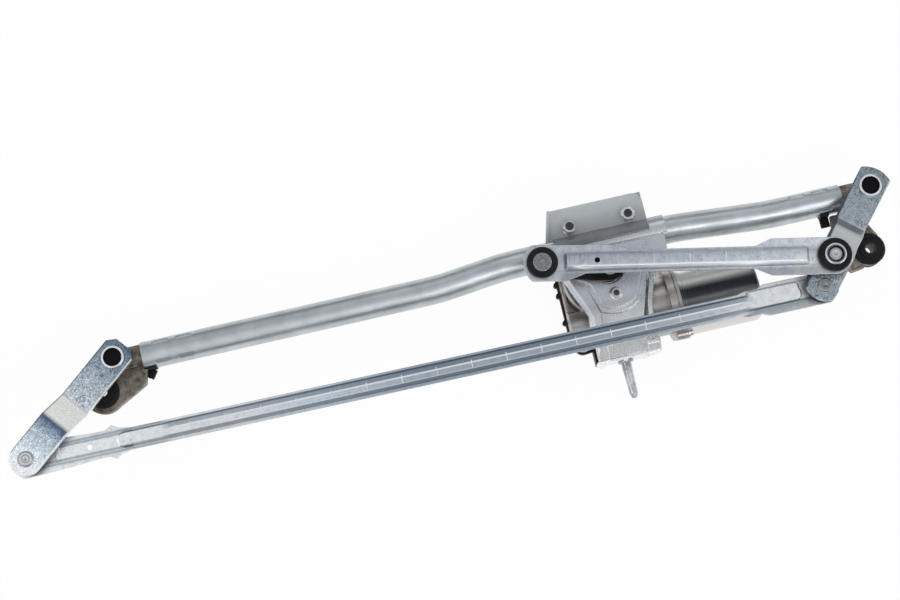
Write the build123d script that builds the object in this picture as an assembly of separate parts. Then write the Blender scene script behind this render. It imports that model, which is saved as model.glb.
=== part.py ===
from build123d import *
import math
import os

# Windscreen wiper linkage, seen from its crank side.
# Millimetres. The left spindle's axis is the Z axis, with z = 0 just inside its threaded end,
# and +Z points to the crank side. +X runs from the left spindle to the right one.

# Layout of the pivots in the parked position
pivot_span = 680.0
left_arm_length = 113.0
right_arm_length = 102.5
drive_arm_length = 78.0
crank_radius = 60.0
drive_rod_length = 252.0
left_arm_angle = -140.5
right_arm_angle = -129.5
drive_arm_angle = -133.0
drive_rod_angle = 168.6

# Fits
running_clearance = 0.05
seat_gap = 0.1
press_gap = 0.02
body_gap = 0.3

# Frame tube
tube_radius = 12.5
tube_wall = 1.5
tube_z = 57.0
tube_end_inset = 22.0
tube_bow = 7.0
tube_bend_radius = 250.0
bow_start = -148.6
bow_flat_start = -86.6
bow_flat_end = 67.4
bow_end = 151.4
crimp_length = 15.0
crimp_width = 4.5
crimp_depth = 1.6
crimp_floor = 0.4
crimp_first = 18.0
crimps_in_row = 2
crimp_pitch = 21.0
crimp_angles = (45.0, 135.0)

# Die-cast pivot housings
boss_radius = 11.0
boss_foot_radius = 13.5
boss_foot_height = 8.0
boss_bottom_z = 34.0
boss_top_z = 80.0
spigot_length = 66.0
neck_radius = 10.4
neck_length = 7.0
ear_thickness = 9.0
left_ear_radius = 18.5
right_ear_radius = 13.8
web_thickness = 6.0
boss_rib_thickness = 3.0
boss_rib_height = 26.0
boss_rib_slope = 38.0
web_rim = 2.2
web_rim_height = 3.0
left_web = (
    (-16.8, -25.0), (-20.0, -42.0), (-3.8, -39.1), (12.8, -30.5), (21.1, -26.0), (24.2, -13.3),
    (21.8, -12.4), (21.8, 0.0), (0.0, 0.0),
)
right_web = (
    (-10.5, -52.0), (-18.7, -67.0), (-29.5, -68.6), (-31.8, -66.1), (-30.0, -60.0), (-36.5, -24.0),
    (-35.5, -14.8), (-21.8, -14.8), (-21.8, 0.0), (0.0, 0.0), (2.0, -11.0), (-5.0, -29.4), (1.0, -41.0),
)

# Rubber grommets, by which the linkage hangs on the body
left_grommet_place = (-16.8, -25.0)
right_grommet_offset = (-10.5, -52.0)
grommet_z = 60.0
grommet_groove_radius = 8.5
grommet_radius = 14.2
grommet_lip = 3.5
grommet_collar_radius = 9.4
grommet_collar_height = 1.6
sleeve_radius = 5.6
sleeve_bore_radius = 4.2
sleeve_overhang = 0.4

# Spindles and bushes
spindle_radius = 6.0
bush_radius = 7.5
bush_length = 15.0
spindle_thread_radius = 4.0
spindle_thread_length = 12.0
spindle_tip = 1.6
spindle_cone_length = 10.0
spindle_cone_radius = 5.6
spindle_rivet_radius = 5.4
spindle_ring_radius = 10.0
spindle_recess_radius = 8.0
spindle_ring_height = 2.6
spindle_recess_floor = 0.8
spline_count = 24
spline_depth = 0.35
spline_width = 0.8
washer_radius = 12.0
washer_thickness = 0.7
circlip_radius = 8.6
circlip_thickness = 1.0
circlip_groove_radius = 5.2
circlip_mouth = 5.0

# Rocker arms
arm_width = 28.5
arm_sheet = 4.0
arm_low_z = 81.0
arm_high_z = 95.0
arm_knee_radius = 4.0
left_pivot_overhang = 14.5
left_corner_cut = 6.5
left_joggle = (53.0, 75.0)
right_pivot_overhang = 16.5
right_pivot_rise = 4.5
right_end_overhang = 13.5
right_end_rise = 4.5
right_end_half = 15.5
right_end_shift = 4.5
right_end_turn = 8.0
right_arm_shoulder = 18.0
right_joggle = (40.5, 51.0)

# Ball joints
ball_radius = 8.0
stud_radius = 4.0
stud_neck_radius = 4.5
stud_shoulder_radius = 7.0
stud_shoulder_height = 1.5
rivet_height = 2.4
left_rivet_radius = 7.0
right_rivet_radius = 6.3
rivet_dimple_radius = 1.8
link_ball_z = 85.0
drive_ball_z = 109.0
socket_radius = 13.5
drive_socket_radius = 14.6
socket_half_height = 6.5
socket_mouth_radius = 6.6
socket_groove = 2.2
socket_vent_radius = 2.0
seal_ring_radius = 9.3
seal_ring_height = 2.0
seal_ring_wall = 2.2
drive_button_radius = 6.0
drive_button_height = 1.8
crank_cap_radius = 8.0
crank_cap_low = 4.9
crank_cap_high = 6.2
crank_mouth_radius = 8.5
crank_mouth_depth = 1.9

# Pressed rods
rod_sheet = 2.0
link_width = 19.0
link_bead_width = 15.5
link_bead_height = 6.0
link_pan_width = 26.0
link_pan_end = 58.0
link_ear_place = 74.5
link_ear_width = 30.0
link_wall_height = 5.5
link_wall_width = 3.8
link_wall_taper = 16.0
link_upper_wall = ((19.0, 6.6), (36.0, 6.9), (52.0, 7.6), (66.0, 5.6), (84.0, 5.2))
link_lower_wall = ((19.0, -6.6), (34.0, -7.9), (48.0, -7.6), (64.0, -4.9), (84.0, -4.6))
link_lip_height = 4.0
link_lip = ((90.0, 7.2), (78.5, 9.6), (74.0, 13.4), (75.0, 14.6), (80.5, 11.2), (90.0, 9.4))
link_ramp = (23.0, 27.0)
link_ramp_height = 3.0
link_hole_place = 53.0
link_wide_reach = 74.033
link_wide_width = 28.0
link_shoulder_width = 22.4
link_end_bead_inset = 6.0
link_end_bead_margin = 19.033
link_end_bead_width = 15.6
link_end_bead_shift = 3.5
link_end_corner = 5.0
drive_width = 19.6
drive_bead_width = 18.0
drive_bead_height = 10.0
drive_pan_width = 32.0
drive_pan_end = 76.0
drive_pan_low_start = 21.0
drive_pan_low_end = 38.0
drive_wide_start = 184.0
drive_wide_width = 32.4
drive_bead_start = 18.0
drive_bead_stop = 21.3
drive_bead_corner = 3.0
drive_pad_places = (24.0, 36.0)
drive_pad_length = 8.0
drive_pad_width = 11.5
drive_pad_height = 1.2
drive_hole_place = 47.0
bead_taper = 20.0
rod_hole_radius = 2.4

# Motor crank
crank_sheet = 5.0
crank_width = 26.0
crank_low_z = 86.0
crank_high_z = 94.0
crank_joggle = (14.0, 34.0)
output_radius = 6.0
output_seat_radius = 5.0
output_thread_radius = 4.0
output_thread_length = 8.7
crank_nut_flats = 13.0
crank_nut_height = 6.5
crank_nut_collar = 1.2

# Worm gear
gear_module = 1.25
gear_addendum = 0.85
gear_dedendum = 1.1
wheel_teeth = 48
wheel_width = 9.0
wheel_tooth_share = 0.33
wheel_rim = 4.0
wheel_recess = 2.5
wheel_hub_radius = 11.0
worm_pitch_radius = 6.9
worm_thread_share = 0.28
worm_turns = 9
wheel_z = 28.5
worm_z = 33.0

# Gear housing
bowl_radius = 38.5
bowl_wall = 3.0
bowl_bottom_z = 19.0
bowl_top_z = 41.6
bowl_roof = 2.4
tunnel_radius = 13.0
tunnel_bore_radius = 9.2
tunnel_left_x = -41.0
tunnel_right_x = 48.0
shoulder_radius = 26.5
shoulder_length = 22.0
side_wall_height = 14.0
side_wall = 2.5
side_inset = 0.4
side_floor = 3.0
housing_boss_radius = 12.8
housing_boss_top_z = 77.6
post_radius = 6.0
post_top_z = 75.0
post_rib_thickness = 4.0
land_screw_radius = 2.5
land_screw_depth = 20.0
land_screw_length = 18.0
land_screw_flats = 8.0
land_screw_head = 5.2
land_screw_collar = 6.0
screw_places = ((1.0, -23.2), (24.0, 2.0), (-21.5, 2.0))
ear_boss_place = (-32.0, -54.0)
ear_boss_radius = 6.5
cover_screw_radius = 1.7
cover_thickness = 2.5
cover_depth = 6.0
cover_overhang = 1.5
cover_side_top = 10.0
cover_side_low = 6.0
cover_side_right = 4.0
cover_knobs = (-5.5, 4.5, 30.0)
cover_knob_radius = 2.6
connector_place = (-12.0, -74.0)
connector_depth = 20.0
connector_width = 24.0
connector_height = 14.0
connector_wall = 2.0
connector_floor = 4.0
blade_count = 4
blade_pitch = 4.6
blade_width = 2.2
blade_thickness = 0.8

# Motor
can_radius = 31.0
can_wall = 1.5
can_length = 71.0
can_step_radius = 32.0
can_step_length = 3.7
can_corner_radius = 5.0
can_boss_radius = 9.0
can_boss_length = 4.0
flange_radius = 33.0
flange_thickness = 10.0
flange_groove = 1.0
flange_groove_depth = 1.2
flange_groove_place = 6.4
can_screw_angles = (150.0, -30.0)
can_screw_circle = 35.5
can_screw_radius = 2.0
can_screw_head_radius = 3.4
can_ear_radius = 5.0
magnet_thickness = 6.0
magnet_overhang = 2.5
magnet_half_angle = 60.0
core_radius = 21.5
core_length = 34.0
core_start = 19.0
core_slots = 10
core_slot_width = 2.4
core_slot_radius = 3.2
core_slot_depth = 6.5
coil_height = 6.0
commutator_radius = 9.0
commutator_length = 12.0
commutator_bars = 10
brush_plate_start = 8.0
brush_plate_thickness = 2.0
brush_holder = (11.0, 7.0, 6.0)
shaft_radius = 4.0
bearing_length = 4.0
near_bearing_length = 10.0

# Motor bracket, a pressing clamped on the tube
bracket_sheet = 2.5
land_top_z = 78.0
bracket_low_z = 70.5
bracket_left = ((-39.5, 23.0), (-39.5, -1.0), (-29.0, -29.0), (-26.0, -36.0), (-27.4, -48.0))
bracket_right = ((28.2, -57.0), (31.9, -36.0), (39.6, -12.0), (55.9, 6.7), (57.5, 23.0))
bracket_waist = 66.0
apron_room_height = 20.0
bracket_skirt_z = 62.0
bracket_hole_radius = 13.7
saddle_start = -38.6
saddle_end = 59.4
flange_end = 44.7
flange_span = 37.0
flange_z = 65.0
plate_sheet = 2.0
plate_corner_radius = 9.0
plate_fold_height = 6.0
plate_left = (-2.0, -9.5)
lower_clamp_sheet = 2.0
clamp_bolt_places = (-24.4, 28.7)
clamp_bolt_reach = 18.7
clamp_bolt_flats = 11.0
clamp_bolt_collar = 6.8
clamp_nut_room = 6.8
clamp_bolt_radius = 4.0
clamp_bolt_length = 20.0
clamp_bolt_head = 7.5
clamp_nut_height = 6.5
bolt_hole_play = 0.3
bracket_edge_radius = 2.0
land_sheet = 3.0
land_radius = 36.0
land_taper = 12.0
land_step_z = 74.6
land_step_reach = 3.2
land_left = ((-32.4, 21.0), (-32.4, -3.5), (-20.5, -11.5))
land_right = ((28.5, -10.5), (35.0, -3.0), (35.0, 21.0))
land_start_angle = 246.0
land_end_angle = 303.0
land_swell = 1.5
ridge_top_z = 75.5
ridge_taper = 18.0
ridge_wall = 3.4
left_ridge = ((-38.0, 12.0), (-38.0, -2.0), (-26.5, -32.0), (-24.8, -40.0), (-25.8, -78.0), (-16.5, -78.0),
              (-16.0, -46.6), (-14.6, -36.0), (-22.0, -8.0), (-30.5, 0.0), (-30.5, 12.0))
right_ridge = ((42.0, 6.0), (38.4, -12.0), (30.8, -36.0), (27.2, -57.0), (29.8, -78.0), (19.0, -78.0),
               (17.3, -48.0), (20.5, -37.5), (29.3, -9.0), (34.0, 6.0))
apron_low_z = 60.0
apron_length = 13.0
apron_sheet = 3.0
skirt_reach = 78.9
skirt_left = 26.4
skirt_right = 30.8
skirt_bottom_z = 36.0
skirt_ribs = ((-21.5, 38.0), (-2.0, 54.0), (18.0, 38.0))
skirt_rib_radius = 2.4
pin_place = -1.1
pin_z = 46.0
pin_length = 34.0
pin_root_radius = 4.6
pin_tip_radius = 3.4
pin_collar = 2.5
pin_plug = 4.0
pin_flutes = 6
pin_flute_radius = 1.2

# Plastic clips under the tube's ends
clip_width = 8.0
clip_thickness = 1.6
clip_mouth_z = 6.0
clip_back_z = -7.0
clip_places = (28.6, 40.0)
clip_tails = (8.5, 9.8)
clip_turns = (-35.0, 0.0)
clip_tail_thickness = 3.0
clip_knob_radius = 2.4

# Places worked out from the layout
left_pivot = (0.0, 0.0)
right_pivot = (pivot_span, 0.0)


def polar(centre, radius, angle):
    turn = math.radians(angle)
    return (centre[0] + radius * math.cos(turn), centre[1] + radius * math.sin(turn))


def heading(start, end):
    return math.degrees(math.atan2(end[1] - start[1], end[0] - start[0]))


left_ball = polar(left_pivot, left_arm_length, left_arm_angle)
right_ball = polar(right_pivot, right_arm_length, right_arm_angle)
drive_ball = polar(right_pivot, drive_arm_length, drive_arm_angle)
crank_ball = polar(drive_ball, drive_rod_length, drive_rod_angle)
motor_axis = polar(drive_ball, drive_rod_length - crank_radius, drive_rod_angle)
crank_angle = heading(motor_axis, crank_ball)
link_length = math.dist(left_ball, right_ball)
link_angle = heading(left_ball, right_ball)
link_wide_start = link_length - link_wide_reach
link_end_bead_start = link_wide_start + link_end_bead_inset
link_end_bead_stop = link_length - link_end_bead_margin
drive_angle = heading(crank_ball, drive_ball)
right_grommet_place = (
    right_pivot[0] + right_grommet_offset[0],
    right_pivot[1] + right_grommet_offset[1],
)
tube_inner_radius = tube_radius - tube_wall
tube_start_x = left_pivot[0] + tube_end_inset
tube_end_x = right_pivot[0] - tube_end_inset
wheel_pitch_radius = gear_module * wheel_teeth / 2
worm_y = motor_axis[1] - wheel_pitch_radius - worm_pitch_radius
worm_lead = math.pi * gear_module
can_start_x = tunnel_right_x + flange_thickness + seat_gap
circlip_low_z = boss_bottom_z - washer_thickness - 3 * seat_gap - circlip_thickness
link_sheet_z = link_ball_z - rod_sheet / 2
drive_sheet_z = drive_ball_z - rod_sheet / 2
worm_root_radius = worm_pitch_radius - gear_dedendum * gear_module
worm_tip_radius = worm_pitch_radius + gear_addendum * gear_module
bow_start_x = motor_axis[0] + bow_start
bow_flat_start_x = motor_axis[0] + bow_flat_start
bow_flat_end_x = motor_axis[0] + bow_flat_end
bow_end_x = motor_axis[0] + bow_end
saddle_start_x = motor_axis[0] + saddle_start
saddle_end_x = motor_axis[0] + saddle_end
flange_end_x = motor_axis[0] + flange_end
flange_reach = tube_bow + flange_span
clamp_bolt_y = tube_bow + clamp_bolt_reach
clamp_bolt_x = [motor_axis[0] + place for place in clamp_bolt_places]
skirt_y = motor_axis[1] - skirt_reach
pin_x = motor_axis[0] + pin_place
beyond = 200.0


# Small helpers for round, flat and turned forms

def disc(radius, low, high):
    """An upright cylinder between two heights."""
    return Pos(0, 0, low) * extrude(Circle(radius), high - low)


def ring(outer, inner, low, high):
    return disc(outer, low, high) - disc(inner, low, high)


def turned(*points):
    """A solid turned about Z from its half section, given as (radius, z) points."""
    outline = Plane.XZ * Polyline(*points, close=True)
    return revolve(make_face(outline), Axis.Z)


def prism(points, low, high, corner=0.0):
    """An upright prism on an outline, with its corners rounded."""
    face = make_face(Polyline(*points, close=True))
    if corner > 0:
        face = fillet(face.vertices(), corner)
    return Pos(0, 0, low) * extrude(face, high - low)


def hexagon(flats, low, high):
    face = RegularPolygon(flats / 2, 6, major_radius=False)
    return Pos(0, 0, low) * extrude(face, high - low)


def chamfered_hexagon(flats, low, height):
    """A hexagon whose upper corners are turned off, as on a bolt's head or a nut."""
    cone = turned(
        (0, low),
        (flats * 0.6, low),
        (flats * 0.6, low + height - 1),
        (flats * 0.5, low + height),
        (0, low + height),
    )
    return hexagon(flats, low, low + height) & cone


def at(place, part):
    return Pos(place[0], place[1], 0) * part


def along(start, angle, part):
    """Turns a part drawn along +X to an angle and moves it to its start."""
    return Pos(start[0], start[1], 0) * Rot(0, 0, angle) * part


def mirrored_outline(half):
    """Closes an outline from its upper half, given from left to right."""
    return list(half) + [(x, -y) for x, y in reversed(half)]


# Frame tube

def tube_path():
    return FilletPolyline(
        (tube_start_x, 0, tube_z),
        (bow_start_x, 0, tube_z),
        (bow_flat_start_x, tube_bow, tube_z),
        (bow_flat_end_x, tube_bow, tube_z),
        (bow_end_x, 0, tube_z),
        (tube_end_x, 0, tube_z),
        radius=tube_bend_radius,
    )


def crimp_prism(x, angle, inner, outer, grow):
    """A slot-shaped block that stands on the tube at one crimp."""
    slot = SlotOverall(crimp_length + 2 * grow, crimp_width + 2 * grow)
    block = Pos(0, 0, inner) * extrude(slot, outer - inner)
    return Pos(x, 0, tube_z) * Rot(angle - 90, 0, 0) * block


def crimp_places():
    """Every crimp as (x, angle round the tube)."""
    places = []
    for angle in crimp_angles:
        for index in range(crimps_in_row):
            inset = crimp_first + index * crimp_pitch
            places.append((tube_start_x + inset, angle))
            places.append((tube_end_x - inset, angle))
    return places


def frame_tube():
    path = tube_path()
    start = Plane(origin=path @ 0, z_dir=path % 0)
    tube = sweep(start * Circle(tube_radius), path)
    tube -= sweep(start * Circle(tube_inner_radius), path)
    for x, angle in crimp_places():
        tube -= crimp_prism(x, angle, tube_inner_radius, tube_radius + 1, 0)
    for x, angle in crimp_places():
        floor_top = tube_inner_radius + crimp_floor
        tube += crimp_prism(x, angle, floor_top - crimp_depth, floor_top, tube_wall / 2)
    return tube


# Pivot housings

def spigot(direction):
    """The plug that goes into the tube, along +X or -X from the boss."""
    start = tube_end_inset + seat_gap
    radius = tube_inner_radius - running_clearance
    plug = Pos(boss_radius - 3, 0, tube_z) * Rot(0, 90, 0) * disc(radius, 0, spigot_length)
    plug = chamfer(plug.edges().filter_by(GeomType.CIRCLE).sort_by(Axis.X)[-1], 2)
    neck = disc(neck_radius, 0, neck_length - seat_gap)
    plug += Pos(start - neck_length, 0, tube_z) * Rot(0, 90, 0) * neck
    if direction < 0:
        plug = Rot(0, 0, 180) * plug
    return plug


def crimp_grooves(pivot):
    """What the crimps press into the spigot, in the frame of one pivot."""
    groups = []
    for x, angle in crimp_places():
        if abs(x - pivot[0]) < pivot_span / 2:
            low = tube_inner_radius - crimp_depth
            groups.append(crimp_prism(x, angle, low, tube_radius, tube_wall / 2 + body_gap))
    return groups


def boss_rib():
    """A rib that stands beside the boss and leans in at its top."""
    reach = boss_radius + boss_rib_thickness * 2
    rib = Box(reach, boss_rib_thickness, boss_rib_height, align=(Align.MIN, Align.CENTER, Align.MIN))
    slope = Rot(0, boss_rib_slope, 0) * Box(16, 2 * boss_rib_thickness, 2.5 * boss_rib_height)
    return rib - Pos(reach, 0, boss_rib_height) * slope


def housing_web(web, direction):
    """The flat web between boss, ear and tube, with a raised rim and one rib."""
    low = grommet_z - web_thickness / 2
    high = low + web_thickness
    face = offset(make_face(Polyline(*web, close=True)), -web_rim, kind=Kind.INTERSECTION)
    plate = prism(web, low, high) - Pos(0, 0, high - web_rim_height / 2) * extrude(face, web_rim_height)
    rib = Box(
        tube_end_inset - seat_gap, web_rim, web_thickness + web_rim_height,
        align=(Align.MIN if direction > 0 else Align.MAX, Align.CENTER, Align.MIN),
    )
    return plate + Pos(0, -neck_radius + web_rim, low) * rib


def pivot_housing(pivot, direction, grommet, ear_radius, web):
    """Boss for the spindle, spigot for the tube and a webbed ear for the grommet."""
    boss = turned(
        (0, boss_bottom_z),
        (boss_foot_radius, boss_bottom_z),
        (boss_foot_radius, boss_bottom_z + boss_foot_height),
        (boss_radius + 0.8, boss_bottom_z + boss_foot_height + 4),
        (boss_radius, boss_top_z - 1),
        (boss_radius - 1, boss_top_z),
        (0, boss_top_z),
    )
    body = at(pivot, boss + spigot(direction) + housing_web(web, direction))
    ear_low = grommet_z - ear_thickness / 2
    ear_high = grommet_z + ear_thickness / 2
    body += at(grommet, disc(ear_radius, ear_low, ear_high))
    angle = heading(pivot, grommet)
    for side in (-1, 1):
        body += along(pivot, angle + 90 * side, Pos(0, 0, boss_bottom_z + 2) * boss_rib())
    body -= at(pivot, disc(bush_radius, boss_bottom_z - 1, boss_top_z + 1))
    body -= at(grommet, disc(grommet_groove_radius, ear_low - 1, ear_high + 1))
    for groove in crimp_grooves(pivot):
        body -= groove
    return body


def spindle_bushes(pivot):
    inner = spindle_radius + running_clearance
    outer = bush_radius - press_gap
    low_start = boss_bottom_z + 0.5
    high_end = boss_top_z - 0.5
    low = ring(outer, inner, low_start, low_start + bush_length)
    high = ring(outer, inner, high_end - bush_length, high_end)
    return [at(pivot, low), at(pivot, high)]


def grommet_shape(place):
    half = ear_thickness / 2
    inner = sleeve_radius + press_gap
    waist = grommet_groove_radius - running_clearance
    high = half + grommet_lip + grommet_collar_height
    section = turned(
        (inner, grommet_z - high),
        (grommet_collar_radius - 0.6, grommet_z - high),
        (grommet_collar_radius, grommet_z - half - grommet_lip),
        (grommet_radius - 1.5, grommet_z - half - grommet_lip),
        (grommet_radius, grommet_z - half - grommet_lip + 1.5),
        (grommet_radius, grommet_z - half - running_clearance),
        (waist, grommet_z - half - running_clearance),
        (waist, grommet_z + half + running_clearance),
        (grommet_radius, grommet_z + half + running_clearance),
        (grommet_radius, grommet_z + half + grommet_lip - 1.5),
        (grommet_radius - 1.5, grommet_z + half + grommet_lip),
        (grommet_collar_radius, grommet_z + half + grommet_lip),
        (grommet_collar_radius - 0.6, grommet_z + high),
        (inner, grommet_z + high),
    )
    return at(place, section)


def grommet_sleeve(place):
    half = ear_thickness / 2 + grommet_lip + grommet_collar_height + sleeve_overhang
    tube = ring(sleeve_radius, sleeve_bore_radius, grommet_z - half, grommet_z + half)
    return at(place, tube)


# Spindles

def spindle(pivot):
    """Turned spindle, with its thread, splined cone, shaft and riveted ring."""
    cone_low = spindle_thread_length
    cone_high = spindle_thread_length + spindle_cone_length
    clip_high = circlip_low_z + circlip_thickness + seat_gap
    top = arm_low_z + arm_sheet
    ring_top = top + spindle_ring_height
    shape = turned(
        (0, -spindle_tip),
        (spindle_thread_radius - 0.8, -spindle_tip),
        (spindle_thread_radius, 0.8 - spindle_tip),
        (spindle_thread_radius, cone_low),
        (spindle_cone_radius - 0.8, cone_low),
        (spindle_cone_radius, cone_high),
        (spindle_radius, cone_high),
        (spindle_radius, circlip_low_z),
        (circlip_groove_radius, circlip_low_z),
        (circlip_groove_radius, clip_high),
        (spindle_radius, clip_high),
        (spindle_radius, arm_low_z),
        (spindle_rivet_radius, arm_low_z),
        (spindle_rivet_radius, top),
        (spindle_ring_radius, top),
        (spindle_ring_radius, ring_top - 0.6),
        (spindle_ring_radius - 0.6, ring_top),
        (spindle_recess_radius, ring_top),
        (spindle_recess_radius, top + spindle_recess_floor),
        (0, top + spindle_recess_floor),
    )
    groove = Box(
        2 * spline_depth, spline_width, spindle_cone_length, align=(Align.CENTER, Align.CENTER, Align.MIN)
    )
    groove = Pos(spindle_cone_radius, 0, cone_low) * groove
    for index in range(spline_count):
        shape -= Rot(0, 0, index * 360 / spline_count) * groove
    return at(pivot, shape)


def circlip(pivot):
    low = circlip_low_z + seat_gap / 2
    inner = circlip_groove_radius + running_clearance
    clip = ring(circlip_radius, inner, low, low + circlip_thickness)
    gap = Pos(circlip_radius, 0, low) * Box(2 * circlip_mouth, circlip_mouth, 4)
    return at(pivot, clip - gap)


def thrust_washers():
    inner = spindle_radius + 0.2
    top_low = boss_top_z + seat_gap
    bottom_high = boss_bottom_z - seat_gap
    washers = []
    for pivot in (left_pivot, right_pivot):
        for low in (top_low, bottom_high - washer_thickness):
            washers.append(at(pivot, ring(washer_radius, inner, low, low + washer_thickness)))
    return washers


# Rocker arms and crank: joggled straps

def joggled_strap(start, end, low, high, sheet, knees, width):
    """A strap along +X that steps up from one height to another."""
    slope = math.atan2(high - low, knees[1] - knees[0])
    shift = sheet * math.tan(slope / 2)
    points = [
        (start, low),
        (knees[0], low),
        (knees[1], high),
        (end, high),
        (end, high + sheet),
        (knees[1] - shift, high + sheet),
        (knees[0] - shift, low + sheet),
        (start, low + sheet),
    ]
    face = make_face(Plane.XZ * Polyline(*points, close=True))
    knee_x = (knees[0], knees[1], knees[0] - shift, knees[1] - shift)
    corners = []
    for vertex in face.vertices():
        if min(abs(vertex.X - x) for x in knee_x) < 0.01:
            corners.append(vertex)
    face = fillet(corners, arm_knee_radius)
    return extrude(face, width / 2, both=True)


def left_arm_outline():
    half = arm_width / 2
    cut = left_corner_cut
    body = prism(
        [
            (-left_pivot_overhang, -half + cut),
            (-left_pivot_overhang + cut, -half),
            (left_arm_length, -half),
            (left_arm_length, half),
            (-left_pivot_overhang + cut, half),
            (-left_pivot_overhang, half - cut),
        ],
        0,
        arm_high_z + 10,
    )
    return body + Pos(left_arm_length, 0, 0) * disc(half, 0, arm_high_z + 10)


def right_arm_outline():
    """Outline with a round pivot end and a wider, slightly turned link end."""
    half = arm_width / 2
    wide = right_end_half
    first = right_pivot_rise - right_pivot_overhang
    last = right_arm_length - 1
    turn = math.tan(math.radians(right_end_turn))
    upper = (last + wide * turn, wide + right_end_shift)
    lower = (right_arm_length + right_end_overhang - right_end_rise, -wide + right_end_shift)
    face = make_face([
        Line((first, half), (drive_arm_length - right_arm_shoulder, half - 0.5)),
        Line((drive_arm_length - right_arm_shoulder, half - 0.5), upper),
        ThreePointArc(upper, (right_arm_length + right_end_overhang, right_end_shift), lower),
        Line(lower, (right_arm_length, -half)),
        Line((right_arm_length, -half), (first, -half)),
        ThreePointArc((first, -half), (-right_pivot_overhang, 0), (first, half)),
    ])
    return extrude(face, arm_high_z + 10)


def left_rocker_arm():
    strap = joggled_strap(
        -left_pivot_overhang - 1, left_arm_length + arm_width, arm_low_z, arm_high_z, arm_sheet,
        left_joggle, arm_width + 2,
    )
    arm = strap & left_arm_outline()
    arm -= disc(spindle_rivet_radius + press_gap, 0, beyond)
    arm -= Pos(left_arm_length, 0, 0) * disc(stud_radius + press_gap, 0, beyond)
    return along(left_pivot, left_arm_angle, arm)


def right_rocker_arm():
    strap = joggled_strap(
        -right_pivot_overhang - 1, right_arm_length + arm_width, arm_low_z, arm_high_z, arm_sheet,
        right_joggle, arm_width + 2,
    )
    arm = strap & right_arm_outline()
    middle_angle = (right_arm_angle + drive_arm_angle) / 2
    arm = along(right_pivot, middle_angle, arm)
    arm -= at(right_pivot, disc(spindle_rivet_radius + press_gap, 0, beyond))
    for ball in (right_ball, drive_ball):
        arm -= at(ball, disc(stud_radius + press_gap, 0, beyond))
    return arm


# Ball studs

def rivet_head(radius, face_z, side):
    """A riveted head with a centre dimple, above or below a face."""
    top = rivet_height
    head = turned(
        (0, 0),
        (radius, 0),
        (radius, top - 1.2),
        (radius - 1.2, top),
        (rivet_dimple_radius, top),
        (0, top - 1),
    )
    if side < 0:
        head = Rot(180, 0, 0) * head
    return Pos(0, 0, face_z) * head


def hanging_ball(shoulder_z):
    """A ball under an arm, on its neck and shoulder."""
    ball = Pos(0, 0, link_ball_z) * Sphere(ball_radius)
    neck = disc(stud_neck_radius, link_ball_z, shoulder_z)
    shoulder = disc(stud_shoulder_radius, shoulder_z - stud_shoulder_height, shoulder_z)
    return ball + neck + shoulder


def standing_ball(shoulder_z):
    """A ball above an arm, on its neck and shoulder."""
    ball = Pos(0, 0, drive_ball_z) * Sphere(ball_radius)
    neck = disc(stud_neck_radius, shoulder_z, drive_ball_z)
    shoulder = disc(stud_shoulder_radius, shoulder_z, shoulder_z + stud_shoulder_height)
    return ball + neck + shoulder


def right_link_stud():
    stud = hanging_ball(arm_high_z)
    stud += disc(stud_radius, arm_high_z - 1, arm_high_z + arm_sheet)
    stud += rivet_head(right_rivet_radius, arm_high_z + arm_sheet, 1)
    return at(right_ball, stud)


def left_link_ball():
    return at(left_ball, hanging_ball(arm_high_z - body_gap))


def left_stud_rivet():
    rivet = disc(stud_radius, arm_high_z, arm_high_z + arm_sheet)
    rivet += rivet_head(left_rivet_radius, arm_high_z + arm_sheet, 1)
    return at(left_ball, rivet)


def drive_stud():
    stud = standing_ball(arm_high_z + arm_sheet)
    stud += disc(stud_radius, arm_high_z, arm_high_z + arm_sheet + 1)
    stud += rivet_head(right_rivet_radius, arm_high_z, -1)
    flat_z = drive_ball_z + socket_half_height
    button_top = flat_z + drive_button_height
    stud -= disc(ball_radius + 1, flat_z, flat_z + ball_radius)
    stud += turned(
        (0, flat_z - 1),
        (drive_button_radius - 1.6, flat_z - 1),
        (drive_button_radius - 1.6, flat_z),
        (drive_button_radius, flat_z),
        (drive_button_radius, button_top - 1),
        (drive_button_radius - 1, button_top),
        (rivet_dimple_radius, button_top),
        (0, button_top - 1),
    )
    return at(drive_ball, stud)


def crank_ball_joint():
    """The ball of the crank's stud, with the flat cap of its upper end."""
    cap_low = drive_ball_z + crank_cap_low
    cap_high = drive_ball_z + crank_cap_high
    ball = standing_ball(crank_high_z + crank_sheet + body_gap) - disc(ball_radius, cap_high, beyond)
    return at(crank_ball, ball + disc(crank_cap_radius, cap_low, cap_high))


def crank_socket():
    """The socket of the crank's ball, opened above for the cap."""
    body = socket(crank_ball, drive_ball_z, socket_radius, 1, drive_sheet_z)
    high = drive_ball_z + socket_half_height
    return body - at(crank_ball, disc(crank_mouth_radius, high - crank_mouth_depth, high + 1))


def crank_stud_rivet():
    rivet = disc(stud_radius, crank_high_z, crank_high_z + crank_sheet)
    rivet += rivet_head(right_rivet_radius, crank_high_z, -1)
    return at(crank_ball, rivet)


# Plastic sockets

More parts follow.
